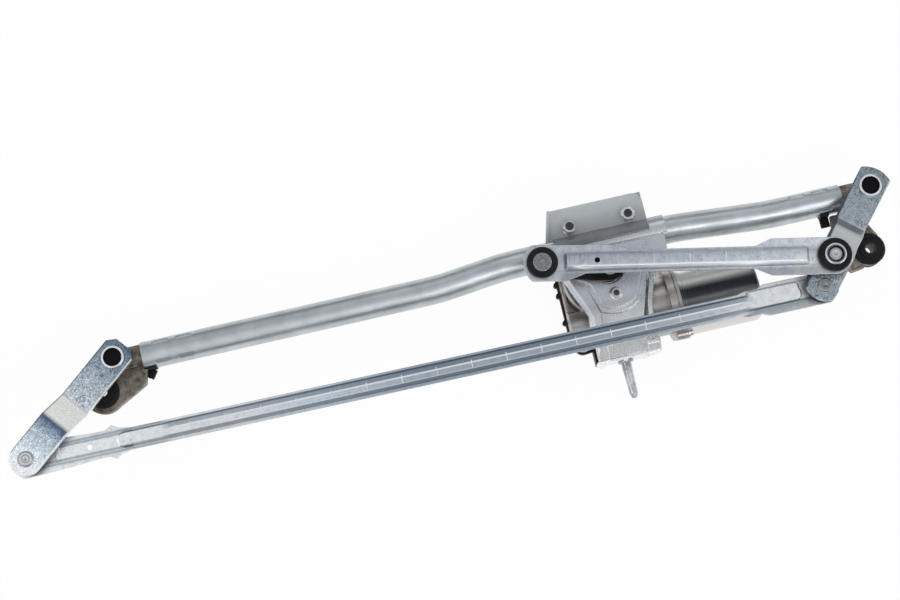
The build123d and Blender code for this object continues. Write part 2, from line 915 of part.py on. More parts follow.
def socket(place, centre_z, radius, mouth_side, sheet_low):
    """A moulded ball socket with a groove that snaps into the rod's hole."""
    low = centre_z - socket_half_height
    high = centre_z + socket_half_height
    waist = radius - socket_groove
    seat = running_clearance
    neck_room = stud_neck_radius + 0.6
    tilt_room = stud_neck_radius + 1.6
    body = turned(
        (0, low),
        (radius - 2, low),
        (radius - 0.6, low + 1.4),
        (radius - 0.6, sheet_low - seat),
        (waist, sheet_low - seat),
        (waist, sheet_low + rod_sheet + seat),
        (radius, sheet_low + rod_sheet + seat),
        (radius, high - 1.2),
        (radius - 1.2, high),
        (0, high),
    )
    body -= Pos(0, 0, centre_z) * Sphere(ball_radius + 2 * running_clearance)
    if mouth_side > 0:
        body -= disc(socket_mouth_radius, centre_z, high + 1)
        body -= turned((0, low - 1), (tilt_room, low - 1), (neck_room, centre_z), (0, centre_z))
    else:
        body -= turned((0, centre_z), (neck_room, centre_z), (tilt_room, high + 1), (0, high + 1))
        body -= disc(socket_vent_radius, low - 1, centre_z)
    return at(place, body)


def drive_seal_ring():
    low = drive_ball_z + socket_half_height + running_clearance
    high = low + seal_ring_height
    inner = seal_ring_radius - seal_ring_wall
    shape = turned(
        (inner, low),
        (seal_ring_radius, low),
        (seal_ring_radius, high - 0.8),
        (seal_ring_radius - 0.8, high),
        (inner, high),
    )
    return at(drive_ball, shape)


# Pressed rods, drawn along +X from their first ball

def bead(start, end, width, height, low, corner):
    """The outside and the hollow of a raised bead with rounded corners."""
    length = end - start
    shrink = math.tan(math.radians(bead_taper))
    middle = (start + end) / 2
    shape = RectangleRounded(length, width, corner)
    outer = Pos(middle, 0, low) * extrude(shape, height, taper=bead_taper)
    wall = rod_sheet * (1 / math.cos(math.radians(bead_taper)) - shrink)
    inner_shape = RectangleRounded(length - 2 * wall, width - 2 * wall, corner - wall)
    inner = Pos(middle, 0, low - 0.01) * extrude(inner_shape, height - rod_sheet, taper=bead_taper)
    return outer, inner


def drive_rod():
    half_pan = drive_pan_width / 2
    half_mid = drive_width / 2
    half_wide = drive_wide_width / 2
    low = drive_sheet_z
    end = drive_rod_length
    hole = socket_groove - running_clearance
    outline = [
        (-half_pan, 7),
        (-half_pan + 7, half_pan),
        (drive_pan_end - 16, half_pan - 1.5),
        (drive_pan_end, half_mid),
        (drive_wide_start, half_mid),
        (drive_wide_start + 14, half_wide),
        (end, half_wide),
        (end, -half_wide),
        (drive_wide_start + 14, -half_wide),
        (drive_wide_start, -half_mid),
        (drive_pan_low_end, -half_mid),
        (drive_pan_low_start, -half_pan),
        (-half_pan + 7, -half_pan),
        (-half_pan, -7),
    ]
    rod = prism(outline, low, low + rod_sheet, 4) + Pos(end, 0, 0) * disc(half_wide, low, low + rod_sheet)
    bead_end = end - drive_bead_stop
    outer, inner = bead(
        drive_bead_start, bead_end, drive_bead_width, drive_bead_height, low, drive_bead_corner
    )
    rod = rod + outer - inner
    for place in drive_pad_places:
        pad = Pos(place, 0, 0) * RectangleRounded(drive_pad_length, drive_pad_width, 1.5)
        rod += Pos(0, 0, low + drive_bead_height - 1) * extrude(pad, 1 + drive_pad_height, taper=bead_taper)
    rod -= Pos(drive_hole_place, 0, 0) * disc(rod_hole_radius, low, beyond)
    rod -= disc(socket_radius - hole, 0, beyond)
    rod -= Pos(end, 0, 0) * disc(drive_socket_radius - hole, 0, beyond)
    return along(crank_ball, drive_angle, rod)


def wall_strip(line, low):
    """A rounded wall that follows a line of points on the long rod's pan."""
    half = link_wall_width / 2
    points = [(x, y + half) for x, y in line] + [(x, y - half) for x, y in reversed(line)]
    face = make_face(Polyline(*points, close=True))
    return Pos(0, 0, low) * extrude(face, link_wall_height, taper=link_wall_taper)


def long_rod():
    half_pan = link_pan_width / 2
    half_mid = link_width / 2
    half_wide = link_wide_width / 2
    half_shoulder = link_shoulder_width / 2
    half_ear = link_ear_width / 2
    low = link_sheet_z
    end = link_length
    hole = socket_groove - running_clearance
    outline = mirrored_outline([
        (-half_pan - 2, 6),
        (-half_pan + 6, half_pan + 2),
        (link_pan_end - 20, half_pan),
        (link_pan_end, half_mid + 2),
        (link_ear_place - 6, half_mid + 2),
        (link_ear_place, half_ear),
        (link_ear_place + 8, half_mid),
        (link_wide_start, half_mid),
        (link_wide_start + 6, half_shoulder),
        (link_wide_start + 18, half_shoulder),
        (link_wide_start + 24, half_wide),
        (end + half_wide * 0.4, half_wide),
        (end + half_wide, half_wide * 0.4),
    ])
    rod = prism(outline, low, low + rod_sheet, 3)
    bead_end = end - socket_radius - 4.5
    corner = link_bead_width / 2 - 0.5
    outer, inner = bead(link_ear_place + 2, bead_end, link_bead_width, link_bead_height, low, corner)
    end_outer, end_inner = bead(
        link_end_bead_start, link_end_bead_stop, link_end_bead_width, link_bead_height, low,
        link_end_corner,
    )
    shift = Pos(0, link_end_bead_shift, 0)
    rod = rod + outer + shift * end_outer - inner - shift * end_inner
    rod += wall_strip(link_upper_wall, low) + wall_strip(link_lower_wall, low)
    first, last = link_ramp
    half_ramp = link_bead_width / 2 - 1
    rod += prism(
        [(first, half_ramp), (last, half_ramp), (last, -half_ramp), (first, -half_ramp)],
        low, low + link_ramp_height,
    )
    for side in (-1, 1):
        rod += prism([(x, side * y) for x, y in link_lip], low, low + link_lip_height)
    rod -= Pos(link_hole_place, 0, 0) * disc(rod_hole_radius, 0, beyond)
    rod -= disc(socket_radius - hole, 0, beyond)
    rod -= Pos(end, 0, 0) * disc(socket_radius - hole, 0, beyond)
    return along(left_ball, link_angle, rod)


# Motor crank and gear

def crank_arm():
    half = crank_width / 2
    strap = joggled_strap(
        -half - 1, crank_radius + half + 1, crank_low_z, crank_high_z, crank_sheet,
        crank_joggle, crank_width + 2,
    )
    sides = [(0, -half), (crank_radius, -half + 1), (crank_radius, half - 1), (0, half)]
    outline = disc(half, 0, beyond) + Pos(crank_radius, 0, 0) * disc(half - 1, 0, beyond)
    outline += prism(sides, 0, beyond)
    arm = strap & outline
    arm -= disc(output_seat_radius + press_gap, 0, beyond)
    arm -= Pos(crank_radius, 0, 0) * disc(stud_radius + press_gap, 0, beyond)
    return along(motor_axis, crank_angle, arm)


def output_shaft():
    foot = bowl_bottom_z + 3
    seat_top = crank_low_z + crank_sheet
    thread_top = seat_top + output_thread_length
    shape = turned(
        (0, foot),
        (output_radius - 0.5, foot),
        (output_radius, foot + 0.5),
        (output_radius, crank_low_z),
        (output_seat_radius, crank_low_z),
        (output_seat_radius, seat_top),
        (output_thread_radius, seat_top),
        (output_thread_radius, thread_top - 0.7),
        (output_thread_radius - 0.7, thread_top),
        (0, thread_top),
    )
    return at(motor_axis, shape)


def crank_nut():
    low = crank_low_z + crank_sheet + press_gap
    nut = chamfered_hexagon(crank_nut_flats, low, crank_nut_height)
    nut += disc(crank_nut_flats * 0.62, low, low + crank_nut_collar)
    nut -= disc(output_thread_radius + press_gap, 0, beyond)
    return at(motor_axis, nut)


def worm_wheel():
    tip = wheel_pitch_radius + gear_addendum * gear_module
    root = wheel_pitch_radius - gear_dedendum * gear_module
    pitch = 2 * math.pi * wheel_pitch_radius / wheel_teeth
    half = pitch * wheel_tooth_share / 2
    tooth = make_face(Polyline(
        (root - 0.5, -half * 1.5),
        (tip, -half * 0.6),
        (tip, half * 0.6),
        (root - 0.5, half * 1.5),
        close=True,
    ))
    face = Circle(root)
    for index in range(wheel_teeth):
        face += Rot(0, 0, index * 360 / wheel_teeth) * tooth
    wheel_top = wheel_z + wheel_width
    hub_z = bowl_bottom_z + 4
    wheel = Pos(0, 0, wheel_z) * extrude(face, wheel_width)
    wheel -= ring(root - wheel_rim, wheel_hub_radius, wheel_top - wheel_recess, wheel_top + 1)
    wheel -= ring(root - wheel_rim, wheel_hub_radius, wheel_z - 1, wheel_z + wheel_recess)
    wheel += disc(wheel_hub_radius, hub_z, wheel_z + 1)
    wheel -= disc(output_radius + press_gap, 0, beyond)
    return at(motor_axis, wheel)


def motor_point(offset):
    """A place given from the crank shaft's axis."""
    return (motor_axis[0] + offset[0], motor_axis[1] + offset[1])


def worm_frame(x):
    """A plane on the motor shaft's axis, facing +X, with its first axis towards the wheel."""
    return Plane(origin=(x, worm_y, worm_z), x_dir=(0, 1, 0), z_dir=(1, 0, 0))


def worm_thread():
    """The left-hand thread of the worm, drawn about Z."""
    depth = worm_tip_radius - worm_root_radius
    half = worm_lead * worm_thread_share / 2
    path = Helix(worm_lead, worm_lead * worm_turns, worm_root_radius, lefthand=True)
    section = Plane(origin=path @ 0, x_dir=(1, 0, 0), z_dir=path % 0)
    profile = section * make_face(Polyline(
        (-0.4, -half * 1.5),
        (depth, -half * 0.6),
        (depth, half * 0.6),
        (-0.4, half * 1.5),
        close=True,
    ))
    return sweep(profile, path, is_frenet=True)


def armature_shaft():
    left = tunnel_left_x + 5
    right = can_start_x + can_length + can_boss_length - can_wall - 1
    worm_length = worm_lead * worm_turns
    shaft = on_motor(left, disc(shaft_radius, 0, right - left))
    body = disc(worm_root_radius, -3, worm_length + 3) + worm_thread()
    return shaft + on_motor(-worm_length / 2, body)


def on_motor(x, part):
    """Puts a part drawn about Z on the motor's axis, starting x from the crank shaft."""
    return worm_frame(motor_axis[0] + x) * Location() * part


def armature_core():
    core = disc(core_radius, 0, core_length)
    slot = Pos(core_radius, 0, core_length / 2) * Box(5, core_slot_width, core_length + 2)
    slot += Pos(core_radius - core_slot_depth, 0, -1) * disc(core_slot_radius, 0, core_length + 2)
    for index in range(core_slots):
        core -= Rot(0, 0, index * 360 / core_slots) * slot
    core -= disc(shaft_radius + press_gap, -1, core_length + 1)
    return on_motor(can_start_x + core_start, core)


def armature_windings():
    start = can_start_x + core_start
    inner = shaft_radius + 3
    outer = core_radius - 3
    coil = turned((inner, 0), (outer, 0), (outer - 1, coil_height - 1), (inner, coil_height))
    far = Pos(0, 0, core_length + running_clearance) * coil
    near = Pos(0, 0, -running_clearance) * Rot(180, 0, 0) * coil
    return [on_motor(start, near), on_motor(start, far)]


def commutator():
    body = ring(commutator_radius, shaft_radius + press_gap, 0, commutator_length)
    slit = Pos(commutator_radius, 0, commutator_length / 2) * Box(2, 0.5, commutator_length + 2)
    for index in range(commutator_bars):
        body -= Rot(0, 0, index * 360 / commutator_bars) * slit
    return on_motor(can_start_x - 1, body)


# Motor housing parts

def can_screw_place(angle):
    return Rot(0, 0, angle) * Pos(can_screw_circle, 0, 0)


def motor_barrel():
    """Tunnel for the worm, shoulder and grooved flange, drawn about the motor's axis."""
    shoulder = tunnel_right_x - shoulder_length
    groove_low = tunnel_right_x + flange_groove_place
    groove_high = groove_low + flange_groove
    end = tunnel_right_x + flange_thickness
    return turned(
        (0, tunnel_left_x),
        (tunnel_radius, tunnel_left_x),
        (tunnel_radius, shoulder - 4),
        (shoulder_radius, shoulder),
        (shoulder_radius, tunnel_right_x),
        (flange_radius, tunnel_right_x),
        (flange_radius, groove_low),
        (flange_radius - flange_groove_depth, groove_low),
        (flange_radius - flange_groove_depth, groove_high),
        (flange_radius, groove_high),
        (flange_radius, end),
        (0, end),
    )


def gear_housing():
    """Cast bowl round the worm wheel, with the tunnel for the worm and the screw posts."""
    bowl = disc(bowl_radius, bowl_bottom_z, bowl_top_z)
    bowl = fillet(bowl.edges().filter_by(GeomType.CIRCLE).sort_by(Axis.Z)[-1], 2)
    wall_top = bowl_bottom_z + side_wall_height
    side = cover_outline(bowl_bottom_z, wall_top, -side_inset)
    side -= cover_outline(bowl_bottom_z + side_floor, wall_top + 1, -side_inset - side_wall)
    below = block((0, worm_y - beyond, -beyond), (motor_axis[0] + tunnel_right_x, beyond, bowl_bottom_z))
    casting = at(motor_axis, bowl) + (on_motor(0, motor_barrel()) - below)
    casting += side
    casting += at(motor_axis, disc(housing_boss_radius, bowl_top_z - 3, post_top_z))
    casting += at(motor_axis, disc(housing_boss_radius - 1, post_top_z - 1, housing_boss_top_z))
    for place in screw_places:
        casting += at(motor_point(place), disc(post_radius, bowl_top_z - 3, post_top_z))
        rib_height = post_top_z - bowl_top_z - 3
        rib = Box(
            math.hypot(*place), post_rib_thickness, rib_height, align=(Align.MIN, Align.CENTER, Align.MIN)
        )
        angle = heading((0, 0), place)
        casting += along(motor_axis, angle, Pos(0, 0, bowl_top_z - 1) * rib)
    for angle in can_screw_angles:
        ear = can_screw_place(angle) * disc(can_ear_radius, 0, flange_thickness)
        casting += on_motor(tunnel_right_x, ear)
    ear = motor_point(ear_boss_place)
    casting += at(ear, disc(ear_boss_radius, bowl_bottom_z, wall_top))
    casting -= at(motor_axis, disc(bowl_radius - bowl_wall, bowl_bottom_z - 1, bowl_top_z - bowl_roof))
    casting -= on_motor(tunnel_left_x + 3, disc(tunnel_bore_radius, 0, beyond))
    casting -= at(motor_axis, disc(bush_radius, bowl_top_z - 10, housing_boss_top_z + 1))
    for place in screw_places:
        hole = disc(land_screw_radius + running_clearance, post_top_z - land_screw_depth, post_top_z + 1)
        casting -= at(motor_point(place), hole)
    for angle in can_screw_angles:
        hole = can_screw_place(angle) * disc(can_screw_radius + running_clearance, -1, flange_thickness + 1)
        casting -= on_motor(tunnel_right_x, hole)
    casting -= at(ear, disc(cover_screw_radius + seat_gap, bowl_bottom_z - 1, bowl_bottom_z + 12))
    return casting


def output_bushes():
    inner = output_radius + running_clearance
    outer = bush_radius - press_gap
    low = ring(outer, inner, bowl_top_z, bowl_top_z + bush_length)
    high = ring(outer, inner, housing_boss_top_z - bush_length, housing_boss_top_z)
    return [at(motor_axis, low), at(motor_axis, high)]


def cover_outline(low, high, grow):
    """The cover's outline: the bowl, the side with the socket and the screw's ear."""
    shape = at(motor_axis, disc(bowl_radius + grow, low, high))
    shape += at(motor_point(ear_boss_place), disc(ear_boss_radius + grow, low, high))
    left = tunnel_left_x - grow
    side = [
        motor_point((left, cover_side_top + grow)),
        motor_point((left, ear_boss_place[1] + 8)),
        motor_point((ear_boss_place[0], ear_boss_place[1] - ear_boss_radius - grow)),
        motor_point((cover_side_right + grow, ear_boss_place[1] - cover_side_low + 3 - grow)),
        motor_point((cover_side_right + grow, cover_side_top + grow)),
    ]
    return shape + prism(side, low, high)


def gear_cover():
    """Black moulded cover under the gear, with the connector socket."""
    top = bowl_bottom_z - seat_gap
    low = top - cover_depth
    shell = cover_outline(low, top, cover_overhang)
    shell -= cover_outline(low + cover_thickness, top + 1, -cover_overhang)
    hood = Box(
        connector_width, connector_depth, connector_height, align=(Align.CENTER, Align.MIN, Align.MAX)
    )
    hollow = Box(
        connector_width - 2 * connector_wall,
        connector_depth - connector_floor,
        connector_height - 2 * connector_wall,
        align=(Align.CENTER, Align.MIN, Align.CENTER),
    )
    mouth = motor_point(connector_place)
    shell += at(mouth, Pos(0, 0, top) * hood)
    shell -= at(mouth, Pos(0, -1, top - connector_height / 2) * hollow)
    for place in cover_knobs:
        knob = motor_point((tunnel_left_x - cover_overhang, -place))
        shell += at(knob, disc(cover_knob_radius, low, top))
    shell -= at(motor_point(ear_boss_place), disc(cover_screw_radius + 4 * seat_gap, 0, top + 1))
    return shell


def connector_blades():
    """Flat terminals that stand in the connector socket."""
    blades = []
    z = bowl_bottom_z - seat_gap - connector_height / 2
    start = connector_place[1] + 3
    floor = connector_place[1] - 1 + connector_depth - connector_floor
    for index in range(blade_count):
        side = connector_place[0] + (index - (blade_count - 1) / 2) * blade_pitch
        blade = Box(
            blade_width, floor - start - seat_gap, blade_thickness,
            align=(Align.CENTER, Align.MIN, Align.CENTER),
        )
        blades.append(at(motor_point((side, start)), Pos(0, 0, z) * blade))
    return blades


def cross_slot(face_z):
    """The cross in a screw's head, centred on the head's face."""
    return Pos(0, 0, face_z) * (Box(5, 0.9, 1.6) + Box(0.9, 5, 1.6))


def cover_screw():
    ear = motor_point(ear_boss_place)
    face_z = bowl_bottom_z - seat_gap - cover_depth - running_clearance
    screw = disc(cover_screw_radius, face_z - 1, face_z + 16)
    screw += disc(3.6, face_z - 2.4, face_z)
    return at(ear, screw - cross_slot(face_z - 2.4))


def motor_can():
    """Drawn steel can with its end boss."""
    outer = disc(can_radius, 0, can_length)
    outer = fillet(outer.edges().filter_by(GeomType.CIRCLE).sort_by(Axis.Z)[-1], can_corner_radius)
    boss_end = can_length + can_boss_length
    outer += disc(can_boss_radius, can_length - 1, boss_end)
    inner = disc(can_radius - can_wall, -1, can_length - can_wall)
    inner += disc(can_boss_radius - can_wall, can_length - 2 * can_wall, boss_end - can_wall)
    rim = disc(flange_radius, 0, can_wall) + disc(can_step_radius, 0, can_step_length)
    for angle in can_screw_angles:
        rim += can_screw_place(angle) * disc(can_ear_radius, 0, can_wall)
    can = outer + rim - inner
    for angle in can_screw_angles:
        can -= can_screw_place(angle) * disc(can_screw_radius + bolt_hole_play, -1, can_wall + 1)
    return on_motor(can_start_x, can)


def can_screws():
    face_z = can_wall + running_clearance
    top = face_z + 2.8
    screw = disc(can_screw_head_radius, face_z, top) + disc(can_screw_radius, -8, face_z + 1)
    screw -= cross_slot(top)
    return [on_motor(can_start_x, can_screw_place(angle) * screw) for angle in can_screw_angles]


def magnets():
    outer = can_radius - can_wall - running_clearance
    low = core_start - magnet_overhang
    high = core_start + core_length + magnet_overhang
    reach = 2 * can_radius
    upper = polar((0, 0), reach, magnet_half_angle)
    lower = polar((0, 0), reach, -magnet_half_angle)
    wedge = prism([(0, 0), lower, (reach, 0), upper], low, high)
    shell = ring(outer, outer - magnet_thickness, low, high) & wedge
    return [on_motor(can_start_x, Rot(0, 0, side) * shell) for side in (0, 180)]


def brush_plate():
    outer = can_radius - can_wall - body_gap
    inner = commutator_radius + 2
    plate = ring(outer, inner, brush_plate_start, brush_plate_start + brush_plate_thickness)
    low = brush_plate_start + brush_plate_thickness - brush_holder[2] - 1.8
    holder = Box(*brush_holder, align=(Align.MIN, Align.CENTER, Align.MIN))
    holder = Pos(inner, 0, low + 2) * holder
    for side in (0, 180):
        plate += Rot(0, 0, side) * holder
    return on_motor(can_start_x, plate)


def motor_bearings():
    inner = shaft_radius + running_clearance
    end_outer = can_boss_radius - can_wall - running_clearance
    end_start = can_length + can_boss_length - can_wall - bearing_length - 0.5
    end = ring(end_outer, inner, end_start, end_start + bearing_length)
    near_start = -0.8 * near_bearing_length
    near = ring(tunnel_bore_radius - press_gap, inner, near_start, near_start + near_bearing_length)
    return [on_motor(tunnel_right_x, near), on_motor(can_start_x, end)]


# Motor bracket and clamp

def bracket_outline(inset):
    """The pressing's outline below the tube, drawn round the crank shaft."""
    left = [*bracket_left, (-skirt_left, -bracket_waist)]
    right = [(skirt_right, -bracket_waist), *bracket_right]
    foot = skirt_y - motor_axis[1] + inset
    points = [motor_point((x + inset, y)) for x, y in left]
    points.append(motor_point((left[-1][0] + inset, foot)))
    points.append(motor_point((right[0][0] - inset, foot)))
    points += [motor_point((x - inset, y)) for x, y in right]
    return points


def land_face(inset):
    """The raised land that the gear housing is screwed to, round on its lower side."""
    reach = land_radius - inset
    left = [(x + inset, y) for x, y in land_left]
    right = [(x - inset, y) for x, y in land_right]
    left_low = polar((0, 0), reach, land_start_angle)
    right_low = polar((0, 0), reach, land_end_angle)
    middle = polar((0, 0), reach + land_swell, (land_start_angle + land_end_angle) / 2)
    outline = make_face([
        Polyline(*left, left_low),
        ThreePointArc(left_low, middle, right_low),
        Polyline(right_low, *right),
        Line(right[-1], left[0]),
    ])
    return outline


def pressed_land(top, bottom, inset):
    return at(motor_axis, Pos(0, 0, bottom) * extrude(land_face(inset), top - bottom, taper=land_taper))


def pressed_ridge(points):
    """A raised ridge beside the land, down to the skirt."""
    face = make_face(Polyline(*points, close=True))
    foot = prism(points, apron_low_z, bracket_low_z)
    rise = ridge_top_z - bracket_low_z
    ridge = foot + Pos(0, 0, bracket_low_z) * extrude(face, rise, taper=ridge_taper)
    return at(motor_axis, ridge) - apron_room(rise)


def ridge_hollow(points):
    face = offset(make_face(Polyline(*points, close=True)), -ridge_wall, kind=Kind.INTERSECTION)
    low = apron_low_z - 2
    top = ridge_top_z - bracket_sheet
    hollow = at(motor_axis, Pos(0, 0, low) * extrude(face, top - low))
    return hollow - apron_room(ridge_top_z - bracket_low_z - apron_sheet)


def apron_room(lift):
    """What is cut away above the sloping apron at the bracket's foot."""
    top = bracket_low_z + apron_room_height
    points = [
        (skirt_y - 5, apron_low_z + lift),
        (skirt_y, apron_low_z + lift),
        (skirt_y + apron_length, bracket_low_z + lift),
        (skirt_y + apron_length, top + lift),
        (skirt_y - 5, top + lift),
    ]
    face = Plane.YZ * make_face(Polyline(*points, close=True))
    return Pos(motor_axis[0], 0, 0) * extrude(face, beyond / 2, both=True)


def tube_room(radius, start, length):
    """The space round the tube where it is straight, under the bracket."""
    return Pos(start, tube_bow, tube_z) * Rot(0, 90, 0) * disc(radius, 0, length)


def block(low, high):
    """A box between two corners."""
    size = [high[axis] - low[axis] for axis in range(3)]
    return Pos(*low) * Box(*size, align=(Align.MIN, Align.MIN, Align.MIN))


def clamp_bolt_holes():
    """Both bolt holes, right through the clamped sheets."""
    radius = clamp_bolt_radius + bolt_hole_play
    return [at((x, clamp_bolt_y), disc(radius, 0, beyond)) for x in clamp_bolt_x]


def motor_bracket():
    """Pressing with down-turned sides, a raised land, a saddle on the tube and a bolt flange."""
    sheet = bracket_sheet
    tray = prism(bracket_outline(0), bracket_skirt_z, bracket_low_z, 4)
    tray = fillet(tray.edges().group_by(Axis.Z)[-1], bracket_edge_radius)
    under = bracket_low_z - sheet
    hollow = prism(bracket_outline(sheet), bracket_skirt_z - 1, under, 2)
    tray = tray - apron_room(0)
    for points in (left_ridge, right_ridge):
        tray += pressed_ridge(points)
    tray += pressed_land(land_step_z, under, -land_step_reach) + pressed_land(land_top_z, under, 0)
    tray -= hollow - apron_room(-apron_sheet)
    for points in (left_ridge, right_ridge):
        tray -= ridge_hollow(points)
    tray -= pressed_land(land_step_z - land_sheet, under - 1, sheet - land_step_reach)
    tray -= pressed_land(land_top_z - land_sheet, under - 1, sheet)
    left = motor_axis[0] - skirt_left
    right = motor_axis[0] + skirt_right
    tray += block((left, skirt_y, skirt_bottom_z), (right, skirt_y + sheet, apron_low_z))
    for place, bottom in skirt_ribs:
        rib = disc(skirt_rib_radius, bottom, apron_low_z - 1)
        tray += at((motor_axis[0] + place, skirt_y + 0.5), rib)
    tray -= block((saddle_start_x - beyond, tube_bow - 1, 0), (saddle_end_x + beyond, beyond, beyond))
    inner = tube_radius + seat_gap
    saddle = tube_room(inner + sheet, saddle_start_x, saddle_end_x - saddle_start_x)
    saddle = saddle & block(
        (saddle_start_x, tube_bow - 4, flange_z), (saddle_end_x, tube_bow + 2 * inner, tube_z + 2 * inner)
    )
    flange = block(
        (saddle_start_x, tube_bow + 0.6 * inner, flange_z), (flange_end_x, flange_reach, flange_z + sheet)
    )
    bracket = tray + saddle + flange - tube_room(inner, saddle_start_x - beyond / 2, beyond * 2)
    bracket -= at(motor_axis, disc(bracket_hole_radius, flange_z, land_top_z + 1))
    for place in screw_places:
        hole = disc(land_screw_radius + bolt_hole_play, flange_z, land_top_z + 1)
        bracket -= at(motor_point(place), hole)
    bracket -= clamp_bolt_holes()
    bracket -= Pos(pin_x, skirt_y, pin_z) * Rot(-90, 0, 0) * disc(pin_root_radius, -1, 2 * pin_plug)
    return bracket


def clamp_plate():
    """Upper plate, bolted over the bracket's flange, with a lip over the tube's saddle."""
    low = flange_z + bracket_sheet + seat_gap
    inner = tube_radius + bracket_sheet + 2 * seat_gap
    start = saddle_start_x - 3
    lip = tube_room(inner + plate_sheet, start, flange_end_x - start)
    lip = lip & block(
        (start, tube_bow + 1, low), (flange_end_x, tube_bow + 2 * inner, tube_z + 2 * inner)
    )
    flat_start = tube_bow + 0.6 * inner
    corner = plate_corner_radius
    top_left = (saddle_start_x + plate_left[0], flange_reach)
    low_left = (saddle_start_x + plate_left[1], flat_start)
    outline = make_face([
        Line(low_left, (flange_end_x, flat_start)),
        Line((flange_end_x, flat_start), (flange_end_x, flange_reach - corner)),
        RadiusArc((flange_end_x, flange_reach - corner), (flange_end_x - corner, flange_reach), -corner),
        Line((flange_end_x - corner, flange_reach), top_left),
        Line(top_left, low_left),
    ])
    plate = lip + Pos(0, 0, low) * extrude(outline, plate_sheet)
    fold = [
        top_left,
        (top_left[0] + plate_sheet, top_left[1]),
        (low_left[0] + plate_sheet, low_left[1]),
        low_left,
    ]
    plate += prism(fold, low, low + plate_fold_height)
    plate -= tube_room(inner, start - beyond / 2, beyond * 2)
    return plate - clamp_bolt_holes()


def lower_clamp():
    """Half shell under the tube, pulled up by the two clamp bolts."""
    inner = tube_radius + seat_gap
    sheet = lower_clamp_sheet
    top = flange_z - seat_gap
    clamp = tube_room(inner + sheet, saddle_start_x, flange_end_x - saddle_start_x)
    clamp = clamp & block(
        (saddle_start_x, tube_bow - inner + 3, tube_z - 2 * inner),
        (flange_end_x, tube_bow + 2 * inner, top),
    )
    clamp += block(
        (saddle_start_x, tube_bow + 0.7 * inner, top - sheet), (flange_end_x, flange_reach - 3, top)
    )
    clamp -= tube_room(inner, saddle_start_x - beyond / 2, beyond * 2)
    for x in clamp_bolt_x:
        clamp -= at((x, clamp_bolt_y), disc(clamp_nut_room, tube_z - inner, top - sheet))
    return clamp - clamp_bolt_holes()


def hex_flange_bolt(head_z, shank, radius, flats, head_height, flange):
    """A hex bolt with its flange, head up, with the shank going down."""
    top = head_z + head_height
    head = chamfered_hexagon(flats, head_z, head_height) - disc(flats * 0.34, top - 0.8, top + 1)
    collar_top = head_z + 2.4
    collar = turned(
        (0, head_z),
        (flange, head_z),
        (flange, head_z + 1),
        (flats * 0.5, collar_top),
        (0, collar_top),
    )
    return head + collar + disc(radius, head_z - shank, head_z + 1)


def clamp_bolts():
    head_z = flange_z + bracket_sheet + plate_sheet + 1.5 * seat_gap
    bolt = hex_flange_bolt(
        head_z, clamp_bolt_length, clamp_bolt_radius, clamp_bolt_flats, clamp_bolt_head, clamp_bolt_collar
    )
    return [at((x, clamp_bolt_y), bolt) for x in clamp_bolt_x]


def clamp_nuts():
    top = flange_z - lower_clamp_sheet - 1.5 * seat_gap
    nut = hexagon(clamp_bolt_flats, top - clamp_nut_height, top)
    nut -= disc(clamp_bolt_radius + press_gap, 0, top + 1)
    return [at((x, clamp_bolt_y), nut) for x in clamp_bolt_x]


def motor_screws():
    screw = hex_flange_bolt(
        land_top_z + running_clearance, land_screw_length, land_screw_radius, land_screw_flats,
        land_screw_head, land_screw_collar,
    )
    return [at(motor_point(place), screw) for place in screw_places]


def locating_pin():
    """Fluted, tapered pin that plugs into the body below the bracket."""
    shape = turned(
        (0, -pin_plug),
        (pin_root_radius - press_gap, -pin_plug),
        (pin_root_radius - press_gap, 0),
        (pin_root_radius + pin_collar, 0),
        (pin_root_radius + pin_collar, 2),
        (pin_root_radius, 2),
        (pin_tip_radius + 0.4, pin_length - 4),
        (pin_tip_radius - 1.4, pin_length),
        (0, pin_length),
    )
    flute = Pos(pin_root_radius + 0.5, 0, 6) * disc(pin_flute_radius, 0, pin_length - 12)
    for index in range(pin_flutes):
        shape -= Rot(0, 0, index * 360 / pin_flutes) * flute
    return Pos(pin_x, skirt_y - seat_gap, pin_z) * Rot(90, 0, 0) * shape


def tube_clip(pivot, direction):
    """Plastic strip that hangs under the tube's end and keeps the wiring off the housing."""
    side = 0 if direction > 0 else 1
    inner = tube_radius + seat_gap
    band = Rot(0, 90, 0) * ring(inner + clip_thickness, inner, -clip_width / 2, clip_width / 2)
    band -= Pos(0, 0, clip_mouth_z) * Box(
        2 * clip_width, 4 * inner, 2 * inner, align=(Align.CENTER, Align.CENTER, Align.MIN)
    )
    band -= Pos(0, 0, clip_back_z) * Box(
        2 * clip_width, 2 * inner, 2 * inner, align=(Align.CENTER, Align.MIN, Align.MIN)
    )
    length = clip_tails[side]
    tail = Box(clip_width, length, clip_tail_thickness, align=(Align.CENTER, Align.MAX, Align.CENTER))
    knob = Pos(0, 2 - length, 0) * disc(clip_knob_radius, 0, clip_tail_thickness - 1)
    band += Pos(0, -inner - 0.2, -clip_tail_thickness) * Rot(0, 0, clip_turns[side]) * (tail + knob)
    band -= Rot(0, 90, 0) * disc(inner, -2 * clip_width, 2 * clip_width)
    return Pos(pivot[0] + direction * clip_places[side], 0, tube_z) * band


# The nodes of the assembly

